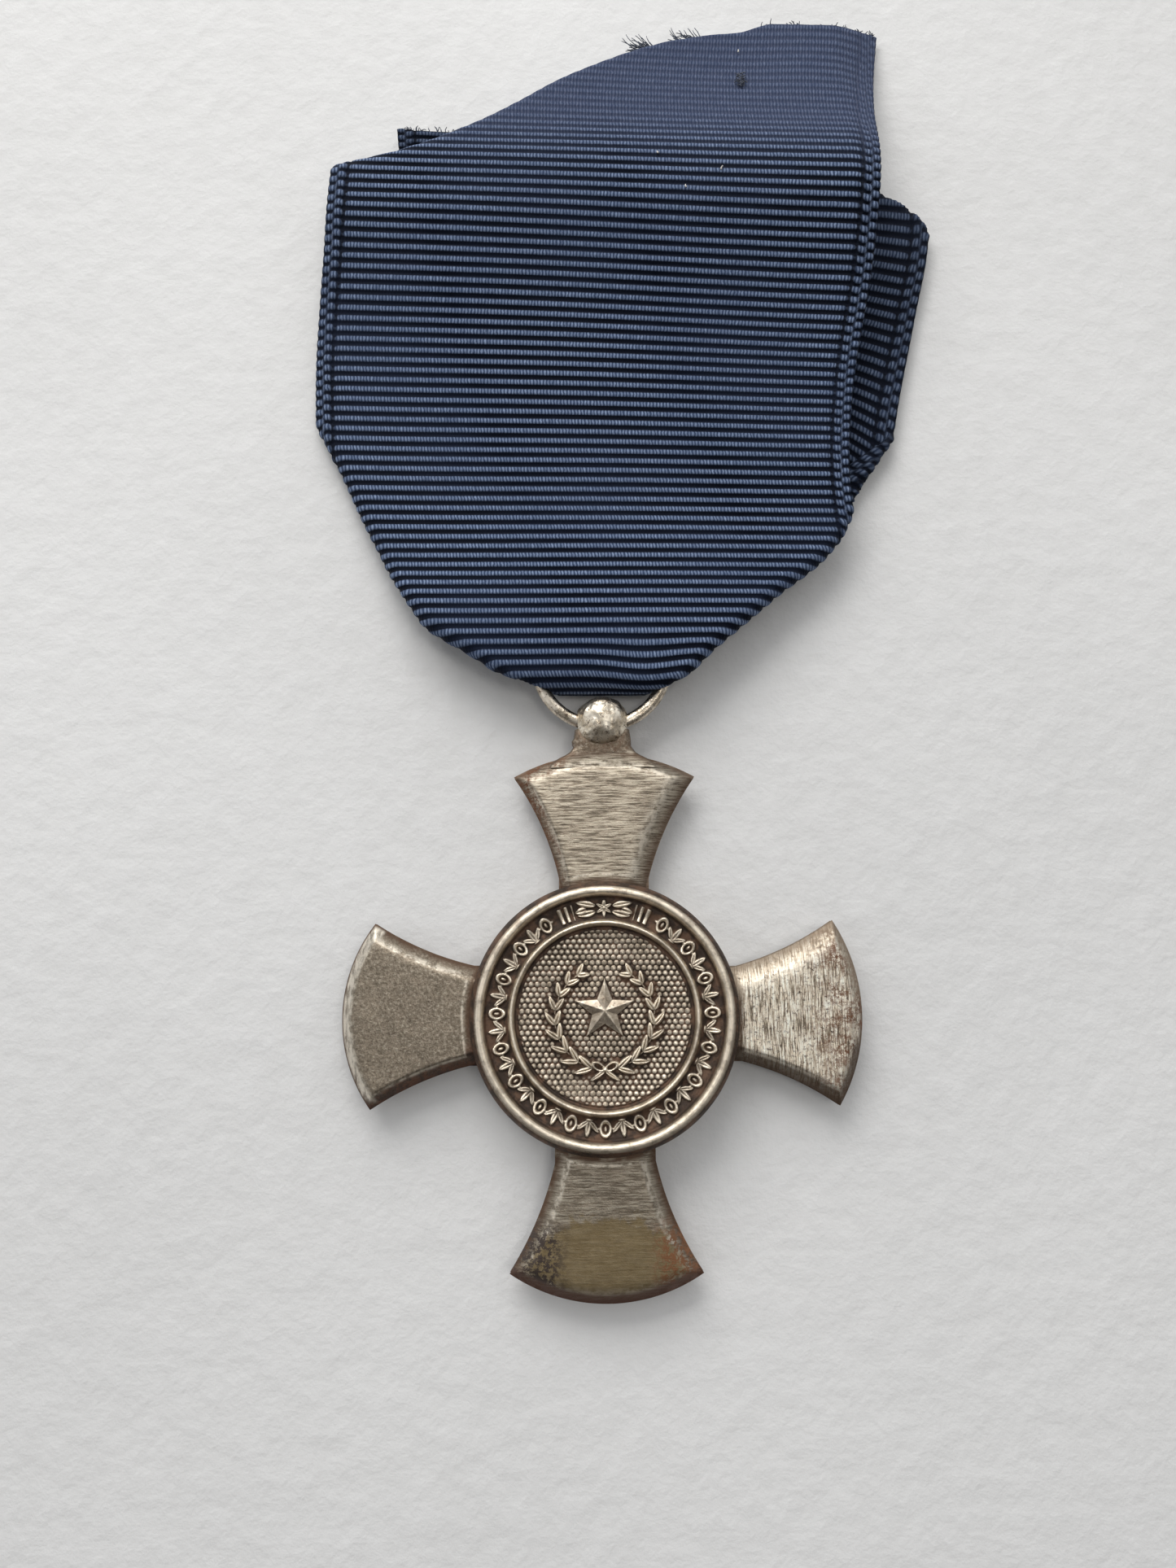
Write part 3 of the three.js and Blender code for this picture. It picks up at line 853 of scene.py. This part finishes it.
class Finish:
    """A material's node tree, with short calls for the nodes used here."""

    def __init__(self, name):
        self.material = bpy.data.materials.new(name)
        self.material.use_nodes = True
        self.tree = self.material.node_tree
        self.shader = self.tree.nodes["Principled BSDF"]

    def node(self, kind, **inputs):
        made = self.tree.nodes.new(kind)
        for key, value in inputs.items():
            self.put(made.inputs[key.replace("_", " ")], value)
        return made

    def put(self, socket, value):
        if isinstance(value, bpy.types.NodeSocket):
            self.tree.links.new(value, socket)
        else:
            socket.default_value = value

    def set(self, **inputs):
        for key, value in inputs.items():
            self.put(self.shader.inputs[key.replace("_", " ")], value)

    def position(self, scale=(1, 1, 1)):
        """Place on the piece in millimetres, stretched by scale."""
        place = self.tree.nodes.new("ShaderNodeTexCoord").outputs["Object"]
        mapping = self.node("ShaderNodeMapping", Vector=place)
        mapping.inputs["Scale"].default_value = [1000 * k for k in scale]
        return mapping.outputs["Vector"]

    def xyz(self):
        return self.node("ShaderNodeSeparateXYZ", Vector=self.position()).outputs

    def joined_to(self, name):
        """What feeds the shader's socket of this name."""
        return self.shader.inputs[name].links[0].from_socket

    def noise(self, vector, scale, detail=4, roughness=0.6):
        made = self.node("ShaderNodeTexNoise", Vector=vector, Scale=scale, Detail=detail, Roughness=roughness)
        return made.outputs["Fac"]

    def math(self, operation, a, b=0.5, clamp=False):
        made = self.tree.nodes.new("ShaderNodeMath")
        made.operation = operation
        made.use_clamp = clamp
        self.put(made.inputs[0], a)
        self.put(made.inputs[1], b)
        return made.outputs[0]

    def times(self, first, *others):
        for other in others:
            first = self.math("MULTIPLY", first, other)
        return first

    def step(self, value, low, high, to_low=0.0, to_high=1.0):
        """A smooth step of value, with its ends at to_low and to_high."""
        made = self.tree.nodes.new("ShaderNodeMapRange")
        made.interpolation_type = "SMOOTHSTEP"
        names = ("Value", "From Min", "From Max", "To Min", "To Max")
        for key, number in zip(names, (value, low, high, to_low, to_high)):
            self.put(made.inputs[key], number)
        return made.outputs["Result"]

    def mix(self, factor, a, b):
        made = self.tree.nodes.new("ShaderNodeMix")
        made.data_type = "RGBA"
        self.put(made.inputs["Factor"], factor)
        colours = [socket for socket in made.inputs if socket.type == "RGBA"]
        for socket, value in zip(colours, (a, b)):
            self.put(socket, value if isinstance(value, bpy.types.NodeSocket) else (*value, 1))
        return [socket for socket in made.outputs if socket.type == "RGBA"][0]

    def value(self, name):
        made = self.tree.nodes.new("ShaderNodeAttribute")
        made.attribute_name = name
        return made.outputs["Fac"]

    def bump(self, height, distance, strength=1.0, under=None):
        made = self.node("ShaderNodeBump", Height=height, Distance=distance, Strength=strength)
        if under is not None:
            self.put(made.inputs["Normal"], under)
        return made.outputs["Normal"]


SILVER = (0.47, 0.39, 0.295)
PALE_SILVER = (0.84, 0.75, 0.60)
UMBER = (0.075, 0.045, 0.032)
RUST = (0.17, 0.075, 0.038)
WORN_CREST = (0.88, 0.80, 0.67)
EDGE_BROWN = (0.10, 0.055, 0.032)
# Near-black navy: painted shade in the rib valleys and painted shadow on the back half under the front.
NAVY_AND_PAINTED_SHADE = (0.0012, 0.0026, 0.008)
DARK_NAVY = (0.030, 0.050, 0.105)
PALE_NAVY = (0.305, 0.39, 0.575)
WARP_PITCH = 0.215


def scaled(colour, k):
    return [min(1, c * k) for c in colour]


def struck_metal(
    name, scratches, tone_and_painted_light, grain=0.0, speckle=0.5,
    rust=0.35, rust_place=None, rust_edge=0, edge_brown=0.8,
):
    """Worn silver: scratches is the stretch of the brush marks, or None for a pitted face. The tone factor
    scales the silver for each piece; on the arms it is partly painted light, each arm painted lighter or
    darker by how it faces the light.
    """
    f = Finish(name)
    place = f.position()
    edge = f.value("edge")
    mottling = f.noise(place, 1.1, 5, 0.6)
    dim, light = (scaled(SILVER, k * tone_and_painted_light) for k in (0.88, 1.08))
    tone = f.mix(f.step(mottling, 0.38, 0.62), dim, light)
    pale = scaled(PALE_SILVER, tone_and_painted_light)
    if scratches:
        relief = f.noise(f.position(scratches), 1.0, 6, 0.72)
        tone = f.mix(f.step(relief, 0.44, 0.62, 0, 0.9), tone, pale)
        tone = f.mix(f.step(relief, 0.5, 0.4, 0, grain), tone, scaled(SILVER, 0.25))
    else:
        relief = f.noise(place, 5.6, 5, 0.75)
        tone = f.mix(f.step(relief, 0.5, 0.64, 0, 0.75), tone, pale)
        tone = f.mix(f.step(relief, 0.49, 0.38, 0, 0.7), tone, scaled(SILVER, 0.3))
    pits = f.noise(place, 5.2, 5, 0.75)
    spots = f.step(pits, 0.6 - 0.06 * speckle, 0.68, 0, min(1, 0.25 + speckle))
    tone = f.mix(spots, tone, UMBER)
    worn_patches = f.step(f.noise(place, 2.4, 3), 0.38, 0.6)
    crest = f.times(f.step(edge, 0.1, 0.2), f.step(edge, 0.55, 0.28), worn_patches, 0.6)
    tone = f.mix(crest, tone, WORN_CREST)
    browned = f.times(f.step(edge, 0.45, 0.95), f.step(mottling, 0.3, 0.5, 0.35, edge_brown))
    tone = f.mix(browned, tone, EDGE_BROWN)
    patch = f.noise(place, 0.8, 4, 0.7)
    if rust_place is None:
        patch = f.step(patch, 0.62, 0.75)
    else:
        axis, low, high = rust_place
        patch = f.times(f.step(f.xyz()[axis], low, high), f.step(patch, 0.3, 0.62))
        if rust_edge:
            patch = f.times(patch, f.step(edge, 0.1, rust_edge))
    rusty = f.times(patch, rust, f.step(f.noise(place, 3.3, 5, 0.8), 0.44, 0.56))
    tone = f.mix(rusty, tone, RUST)
    dull = f.math("MAXIMUM", f.math("MAXIMUM", spots, rusty), f.times(browned, 0.7))
    rough = f.math("ADD", f.step(relief, 0.3, 0.7, 0.42, 0.3), f.times(dull, 0.3), clamp=True)
    f.set(Base_Color=tone, Roughness=rough, Metallic=f.step(dull, 0.0, 1.0, 1.0, 0.55))
    f.set(Normal=f.bump(pits, 0.00008, 0.4, under=f.bump(relief, 0.00005, 0.55)))
    return f


def painted_light_arm_metal():
    """The right arm, painted lighter overall as a painted reflection; its far bevel is painted duller than
    its flat top and its near bevel dark brown, as painted shade by the way each bevel faces.
    """
    # The tone factor 1.5 here is a painted reflection.
    f = struck_metal("brushed_down", (11, 0.9, 1), 1.5, 0.9, 1.5, 1.0, ("X", 10.5, 13.5))
    y = f.xyz()["Y"]
    bevel = f.step(f.value("edge"), 0.12, 0.4)
    # Painted shade on the side bevels: the far one duller, the near one dark brown.
    tone = f.mix(f.times(bevel, f.step(y, 0.5, 1.5), 0.6), f.joined_to("Base Color"), (0.33, 0.27, 0.20))
    tone = f.mix(f.times(bevel, f.step(y, -1.0, -2.0), 0.85), tone, (0.085, 0.055, 0.035))
    f.set(Base_Color=tone)
    return f


def pitted_arm_metal():
    """The left arm: pitted and matt, with a painted highlight on its outer end bevel and painted shade,
    coloured in rust browns, on its near bevel.
    """
    f = struck_metal("pitted_silver", None, 0.56, edge_brown=0.95)
    x, y, _ = f.xyz()
    from_centre = f.math("ADD", x, 6.4)
    radius = f.math("SQRT", f.math("ADD", f.times(from_centre, from_centre), f.times(y, y)))
    end = f.times(f.step(radius, 7.75, 8.05), f.step(y, -4.9, -4.3))
    edge = f.value("edge")
    bevel = f.step(edge, 0.12, 0.4)
    streaks = f.step(f.noise(f.position((5, 1.2, 1)), 1.0, 4, 0.7), 0.36, 0.6, 0.15, 0.8)
    # Painted highlight: pale streaks on the outer end bevel.
    bright = f.times(bevel, end, streaks, f.step(edge, 1.0, 0.8))
    tone = f.mix(bright, f.joined_to("Base Color"), (0.93, 0.86, 0.74))
    # Painted shade on the near bevel, in rust browns.
    near = f.times(bevel, f.step(y, -1.2, -2.2), f.math("SUBTRACT", 0.9, f.times(end, 0.9)))
    patches = f.step(f.noise(f.position(), 2.0, 4, 0.7), 0.4, 0.6)
    rust = f.mix(patches, (0.055, 0.034, 0.026), (0.12, 0.055, 0.033))
    f.set(Base_Color=f.mix(near, tone, rust))
    return f


def stained_metal():
    """The bottom arm: an ochre stain over its outer part, with rust at both corners, and painted shade
    darkening the end bevel at its tip.
    """
    f = struck_metal("stained_silver", (0.9, 9, 1), 0.5, 0.45, 0.1, 0.9, edge_brown=0.95)
    place = f.position()
    edge = f.value("edge")
    x, y, _ = f.xyz()
    depth = f.math("ADD", y, f.times(f.noise(place, 0.9, 5, 0.7), 3.6))
    film = f.step(f.math("ADD", depth, f.times(x, x, 0.1)), -8.6, -9.2)
    film = f.times(film, f.step(edge, 0.6, 0.2))
    ochre = f.mix(f.noise(place, 2.2, 5, 0.7), (0.10, 0.062, 0.015), (0.25, 0.185, 0.085))
    tone = f.mix(f.times(film, 0.82), f.joined_to("Base Color"), ochre)
    side = f.step(f.math("ABSOLUTE", f.math("ADD", x, -0.2)), 1.9, 3.3)
    corner = f.times(side, f.step(y, -10.4, -12.0), f.step(f.noise(place, 2.6, 5, 0.8), 0.46, 0.53))
    tone = f.mix(corner, tone, f.mix(f.step(x, -1, 1), (0.05, 0.035, 0.028), (0.2, 0.085, 0.035)))
    # Painted shade: the tip's end bevel, facing away from the light, darkened to brown.
    tip = f.times(f.step(edge, 0.25, 0.6), f.step(y, -13.2, -14.0), 0.85)
    tone = f.mix(tip, tone, (0.10, 0.047, 0.03))
    rough = f.math("ADD", f.joined_to("Roughness"), f.times(film, 0.16), clamp=True)
    less = f.times(f.math("MAXIMUM", film, corner), 0.55)
    f.set(Base_Color=tone, Roughness=rough)
    f.set(Metallic=f.math("SUBTRACT", f.joined_to("Metallic"), less, clamp=True))
    return f


def medallion_metal():
    """Bright worn crests and dark brown hollows, by the medallion's own cavity values."""
    f = Finish("medallion_silver")
    place = f.position()
    cavity = f.value("cavity")
    mottling = f.noise(place, 1.3, 5, 0.65)
    tone = f.mix(f.step(mottling, 0.35, 0.65), (0.31, 0.255, 0.19), (0.50, 0.43, 0.345))
    speckles = f.noise(place, 6.5, 5, 0.75)
    tone = f.mix(f.step(speckles, 0.54, 0.66, 0, 0.8), tone, UMBER)
    worn_patches = f.step(f.noise(place, 0.9, 4, 0.7), 0.36, 0.56, 0.3, 1.0)
    tone = f.mix(f.times(f.step(cavity, 0.44, 0.12, 0, 0.9), worn_patches), tone, (0.90, 0.80, 0.65))
    unevenness = f.times(f.math("SUBTRACT", mottling, 0.5), 0.3)
    hollow = f.step(f.math("ADD", cavity, unevenness), 0.5, 0.78)
    brown = f.mix(f.step(mottling, 0.42, 0.62), (0.036, 0.022, 0.016), (0.13, 0.07, 0.042))
    tone = f.mix(f.times(hollow, 0.95), tone, brown)
    f.set(Base_Color=tone, Metallic=f.step(hollow, 0, 1, 1.0, 0.6))
    f.set(Roughness=f.math("ADD", f.step(speckles, 0.3, 0.7, 0.28, 0.42), f.times(hollow, 0.28), clamp=True))
    f.set(Normal=f.bump(speckles, 0.00006, 0.5))
    return f


def bright_metal(name, light, dark, spot_scale, spot_low, rough_low):
    """The ball and the ring: bright worn wash with brown specks."""
    f = Finish(name)
    place = f.position()
    specks = f.noise(place, spot_scale, 5, 0.75)
    mottling = f.noise(place, 1.6, 4, 0.6)
    spots = f.step(specks, spot_low, spot_low + 0.08, 0, 0.85)
    tone = f.mix(spots, f.mix(f.step(mottling, 0.35, 0.65), dark, light), UMBER)
    rough = f.math("ADD", f.step(mottling, 0.3, 0.7, rough_low, rough_low + 0.1), f.times(spots, 0.3))
    f.set(Base_Color=tone, Metallic=1.0, Roughness=rough)
    f.set(Normal=f.bump(specks, 0.00006, 0.5))
    return f


def tape_cloth():
    """Grosgrain: pale crests ticked by the warp threads and near-black valleys, painted shade over the dark
    yarn; the front's end is painted paler as painted light where it faces the lamp, and the back half darker
    as painted shadow under the front.
    """
    f = Finish("navy_grosgrain")
    rib, across, along, pale = (f.value(name) for name in ("rib", "across", "along", "pale"))
    flat = f.node("ShaderNodeCombineXYZ", X=across, Y=along).outputs[0]
    streaks = f.node("ShaderNodeMapping", Vector=flat)
    streaks.inputs["Scale"].default_value = (7.0, 1.2, 1)
    threads = f.noise(streaks.outputs["Vector"], 1.0, 4, 0.7)
    slant = f.math("ADD", f.times(across, TAU / WARP_PITCH), f.times(along, TAU / RIB * 0.22))
    wobble = f.times(f.noise(flat, 3.1, 2, 0.5), 5.0)
    ticks = f.math("ADD", f.times(f.math("SINE", f.math("ADD", slant, wobble)), 0.5), 0.5)
    thread = f.times(ticks, f.step(threads, 0.25, 0.75, 0.25, 1.0))
    # Painted shade: valleys take the near-black navy, crests the ticked thread colours.
    tone = f.mix(f.step(rib, 0.76, 1.0), NAVY_AND_PAINTED_SHADE, f.mix(thread, DARK_NAVY, PALE_NAVY))
    cloud = f.noise(flat, 0.09, 3, 0.5)
    tone = f.mix(f.step(cloud, 0.35, 0.65, 0, 0.22), tone, (0.018, 0.028, 0.062))
    # Painted shadow: the back half, under the front, darkened towards near-black navy.
    tone = f.mix(f.step(along, 42, 34, 0, 0.45), tone, NAVY_AND_PAINTED_SHADE)
    # Painted light: the front's end, facing the lamp, painted a paler grey-blue with fainter ticks.
    worn = f.mix(f.times(thread, 0.75), (0.030, 0.043, 0.088), (0.123, 0.141, 0.215))
    tone = f.mix(f.times(pale, 0.8), tone, worn)
    f.set(Base_Color=tone, Roughness=0.82, Metallic=0.0)
    f.set(Sheen_Weight=0.05, Sheen_Roughness=0.45, Sheen_Tint=(0.55, 0.62, 0.78, 1))
    f.set(Specular_IOR_Level=0.1)
    f.set(Normal=f.bump(thread, 0.00004, 0.8))
    return f


def thread_cloth(name, light, dark):
    f = Finish(name)
    tone = f.mix(f.noise(f.position(), 6.0, 3), dark, light)
    f.set(Base_Color=tone, Roughness=0.8, Sheen_Weight=0.3)
    f.set(Normal=f.bump(f.noise(f.position(), 20.0, 2), 0.00002, 0.6))
    return f


def paper():
    f = Finish("pale_paper")
    place = f.position()
    soft = f.noise(place, 0.025, 4, 0.5)
    grain = f.noise(place, 0.55, 5, 0.6)
    tone = f.mix(f.step(soft, 0.3, 0.7), (0.70, 0.70, 0.695), (0.75, 0.75, 0.745))
    tone = f.mix(f.step(grain, 0.35, 0.7, 0, 0.25), tone, (0.80, 0.80, 0.80))
    f.set(Base_Color=tone, Roughness=0.9, Specular_IOR_Level=0.2)
    f.set(Normal=f.bump(grain, 0.0003, 0.5))
    return f


def clothe(obj, finishes):
    for finish in finishes:
        obj.data.materials.append(finish.material)


# ---- loose threads and lint


def fibre(points, radius, sides=5):
    points = np.array(points, float)
    tangent = np.gradient(points, axis=0)
    tangent /= np.linalg.norm(tangent, axis=1, keepdims=True)
    helper = np.array([0.31, 0.17, 0.93])
    first = np.cross(tangent, helper)
    first /= np.linalg.norm(first, axis=1, keepdims=True)
    second = np.cross(tangent, first)
    around = np.linspace(0, TAU, sides, endpoint=False)
    taper = np.linspace(1, 0.55, len(points))[:, None, None] * radius
    c, s = np.cos(around)[:, None], np.sin(around)[:, None]
    rings = points[:, None] + taper * (c * first[:, None] + s * second[:, None])
    n = len(points) * sides
    faces = grid_quads(len(points), sides, close_cols=True).tolist()
    faces.append(list(range(sides))[::-1])
    faces.append([n - sides + k for k in range(sides)])
    return rings.reshape(-1, 3), faces


def fibres(name, strands, radius):
    points, faces, count = [], [], 0
    for strand in strands:
        found, found_faces = fibre(strand, radius)
        points.append(found)
        faces += [[k + count for k in face] for face in found_faces]
        count += len(found)
    return piece(name, np.concatenate(points), faces)


def strand(rng, start, direction, length, curl):
    """A loose thread's points: it wanders from its direction by curl and stays above the table."""
    steps = 7
    points = [np.array(start, float)]
    heading = np.array(direction, float)
    for _ in range(steps):
        heading = heading + rng.normal(0, curl, 3) * np.array([1, 1, 0.5])
        heading /= np.linalg.norm(heading)
        following = points[-1] + heading * length / steps
        following[2] = max(following[2], 0.06)
        points.append(following)
    return points


TUFTS = ((3.9, 64.4, 0.9, -1.6, 2.4), (7.0, 65.2, 0.8, -1.3, 2.0))
FLUFF = (9.4, 60.6, 2.72)
LINT = ((3.8, 53.7, 0.2), (7.7, 52.2, 0.26), (5.5, 51.1, 0.22), (9.5, 63.4, 0.2))


def frays(outer):
    """Short threads along both cut ends, two combed tufts and one dark knot of fluff."""
    rng = np.random.default_rng(5)
    strands = []
    end, start = outer[-1], outer[0]
    for k in rng.integers(60, end.shape[0] - 1, 130):
        if end[k][1] < 64.2:
            continue
        lean = (rng.normal(0, 0.5), 1, 0.1)
        strands.append(strand(rng, end[k] - [0, 0.1, 0.1], lean, rng.uniform(0.15, 0.5), 0.3))
    for k in rng.integers(0, 26, 40):
        lean = (rng.normal(0, 0.5), 1, 0.1)
        strands.append(strand(rng, start[k] - [0, 0.05, 0], lean, rng.uniform(0.2, 0.6), 0.35))
    for x, y, z, sideways, size in TUFTS:
        for _ in range(34):
            at = (x + rng.normal(0, 0.35), y + rng.normal(0, 0.12), z)
            lean = (sideways + rng.normal(0, 0.3), 0.45 + rng.normal(0, 0.3), 0.05)
            strands.append(strand(rng, at, lean, rng.uniform(0.5, 1) * size, 0.16))
    for _ in range(26):
        at = (FLUFF[0] + rng.normal(0, 0.22), FLUFF[1] + rng.normal(0, 0.22), FLUFF[2])
        lean = (rng.normal(), rng.normal(), 0.25)
        strands.append(strand(rng, at, lean, rng.uniform(0.25, 0.6), 0.6))
    return fibres("ribbon_frays", strands, 0.042)


def lint():
    """Pale specks on the front."""
    rng = np.random.default_rng(8)
    strands = []
    for x, y, size in LINT:
        z = float(front_height(np.array(x), np.array(y))) + 0.26
        strands.append(strand(rng, (x, y, z), (0.1, 1, 0), size, 0.2))
    return fibres("ribbon_lint", strands, 0.06)


# ---- the assembly

body = cross()
# The arms' tone factors (1.5, 0.72, 0.56, 0.5) are painted light: each arm is painted lighter or darker by
# how it faces the light.
clothe(body, [
    painted_light_arm_metal(),
    struck_metal("brushed_over", (0.9, 12, 1), 0.72, 0.85, 0.15, 1.0, ("X", -1.6, -2.8), rust_edge=0.35),
    pitted_arm_metal(),
    stained_metal(),
    struck_metal("neck_silver", None, 0.6, speckle=0.6, rust=0.3, rust_place=("Y", 15.0, 15.4)),
])
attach(body, "cross")
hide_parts("cross_planchet")

face = medallion()
clothe(face, [medallion_metal()])
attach(face, "cross")
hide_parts("front_medallion")

back = rear_medallion()
attribute(back, "edge", np.full(len(back.data.vertices), 0.1))
clothe(back, [struck_metal("reverse_silver", (0.6, 2.5, 1), 0.85, grain=0.3, rust=0.5)])
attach(back, "cross")
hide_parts("reverse_medallion")

bead = ball()
clothe(bead, [bright_metal("ball_silver", (1.0, 0.915, 0.77), (0.6, 0.51, 0.385), 4.2, 0.54, 0.24)])
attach(bead, "cross")
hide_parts("suspension_ball")

loop = ring()
clothe(loop, [bright_metal("wire_silver", (0.80, 0.72, 0.60), (0.46, 0.39, 0.30), 3.0, 0.55, 0.22)])
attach(loop, "ring")
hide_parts("suspension_ring")

tape, tape_face = ribbon()
clothe(tape, [tape_cloth()])
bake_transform(tape)
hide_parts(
    "ribbon_gather", "ribbon_front", "ribbon_front_corner", "ribbon_left_fold", "ribbon_right_fold",
    "ribbon_back", "ribbon_back_corner",
)

fringe = frays(tape_face)
clothe(fringe, [thread_cloth("fray_thread", (0.06, 0.075, 0.11), (0.012, 0.02, 0.045))])
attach(fringe, "ribbon")

specks = lint()
clothe(specks, [thread_cloth("pale_lint", (0.75, 0.72, 0.68), (0.5, 0.48, 0.45))])
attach(specks, "ribbon")

# ---- the stage, lights and camera


def placed(side, up, back, place):
    """The matrix that puts an object at a place, with its own three axes along these directions."""
    return Matrix([*zip(side, up, back, place), (0, 0, 0, 1)])


def stage():
    """A wide pale table, just below the medal."""
    mesh = bpy.data.meshes.new("paper")
    size = 3.0
    corners = [(-size, -size, 0), (size, -size, 0), (size, size, 0), (-size, size, 0)]
    mesh.from_pydata(corners, [], [(0, 1, 2, 3)])
    mesh.materials.append(paper().material)
    floor = scene_object("paper", mesh)
    floor.location.z = -0.03 * MM


def area_light(name, place, aim, size, power, colour):
    data = bpy.data.lights.new(name, "AREA")
    data.shape = "RECTANGLE"
    data.size, data.size_y = size
    data.energy = power
    data.color = colour
    back = np.array(place, float) - np.array(aim, float)
    back /= np.linalg.norm(back)
    side = np.cross([0, 0, 1], back)
    side /= np.linalg.norm(side)
    scene_object(name, data).matrix_world = placed(side, np.cross(back, side), back, place)


def sky():
    """Soft room light: pale behind the ribbon, dim on the viewer's side."""
    world = bpy.data.worlds.new("room")
    bpy.context.scene.world = world
    world.use_nodes = True
    tree = world.node_tree
    place = tree.nodes.new("ShaderNodeTexCoord")
    split = tree.nodes.new("ShaderNodeSeparateXYZ")
    tree.links.new(place.outputs["Generated"], split.inputs[0])
    ramp = tree.nodes.new("ShaderNodeValToRGB")
    half = tree.nodes.new("ShaderNodeMath")
    half.operation = "MULTIPLY_ADD"
    half.inputs[1].default_value = 0.5
    half.inputs[2].default_value = 0.5
    tree.links.new(split.outputs["Y"], half.inputs[0])
    tree.links.new(half.outputs[0], ramp.inputs["Fac"])
    stops = ramp.color_ramp.elements
    stops[0].position, stops[0].color = 0.12, (0.13, 0.125, 0.12, 1)
    stops[1].position, stops[1].color = 0.9, (0.95, 0.97, 1.0, 1)
    middle = stops.new(0.5)
    middle.color = (0.42, 0.42, 0.425, 1)
    background = tree.nodes["Background"]
    tree.links.new(ramp.outputs["Color"], background.inputs["Color"])
    background.inputs["Strength"].default_value = 0.87


def camera():
    """Close to the medal and nearly overhead."""
    data = bpy.data.cameras.new("camera")
    data.sensor_width = 36
    data.lens = 25.22
    data.clip_start = 0.005
    data.clip_end = 10
    view = scene_object("camera", data)
    side = (0.999986, -0.005277, 0)
    up = (0.00519, 0.98349, 0.18090)
    back = (-0.00095, -0.18089, 0.98350)
    view.matrix_world = placed(side, up, back, (-0.931 * MM, 1.699 * MM, 65.71 * MM))
    bpy.context.scene.camera = view


bpy.context.scene.view_settings.view_transform = "Standard"
stage()
sky()
area_light("window", (-0.07, 0.24, 0.17), (0, 0.02, 0), (0.24, 0.16), 0.6, (1.0, 0.985, 0.96))
area_light("ceiling", (0.115, -0.01, 0.42), (0.01, 0, 0), (0.1, 0.14), 0.21, (1.0, 0.97, 0.92))
area_light("left_fill", (-0.45, -0.05, 0.3), (0, 0.02, 0), (0.3, 0.3), 0.25, (0.95, 0.97, 1.0))
camera()
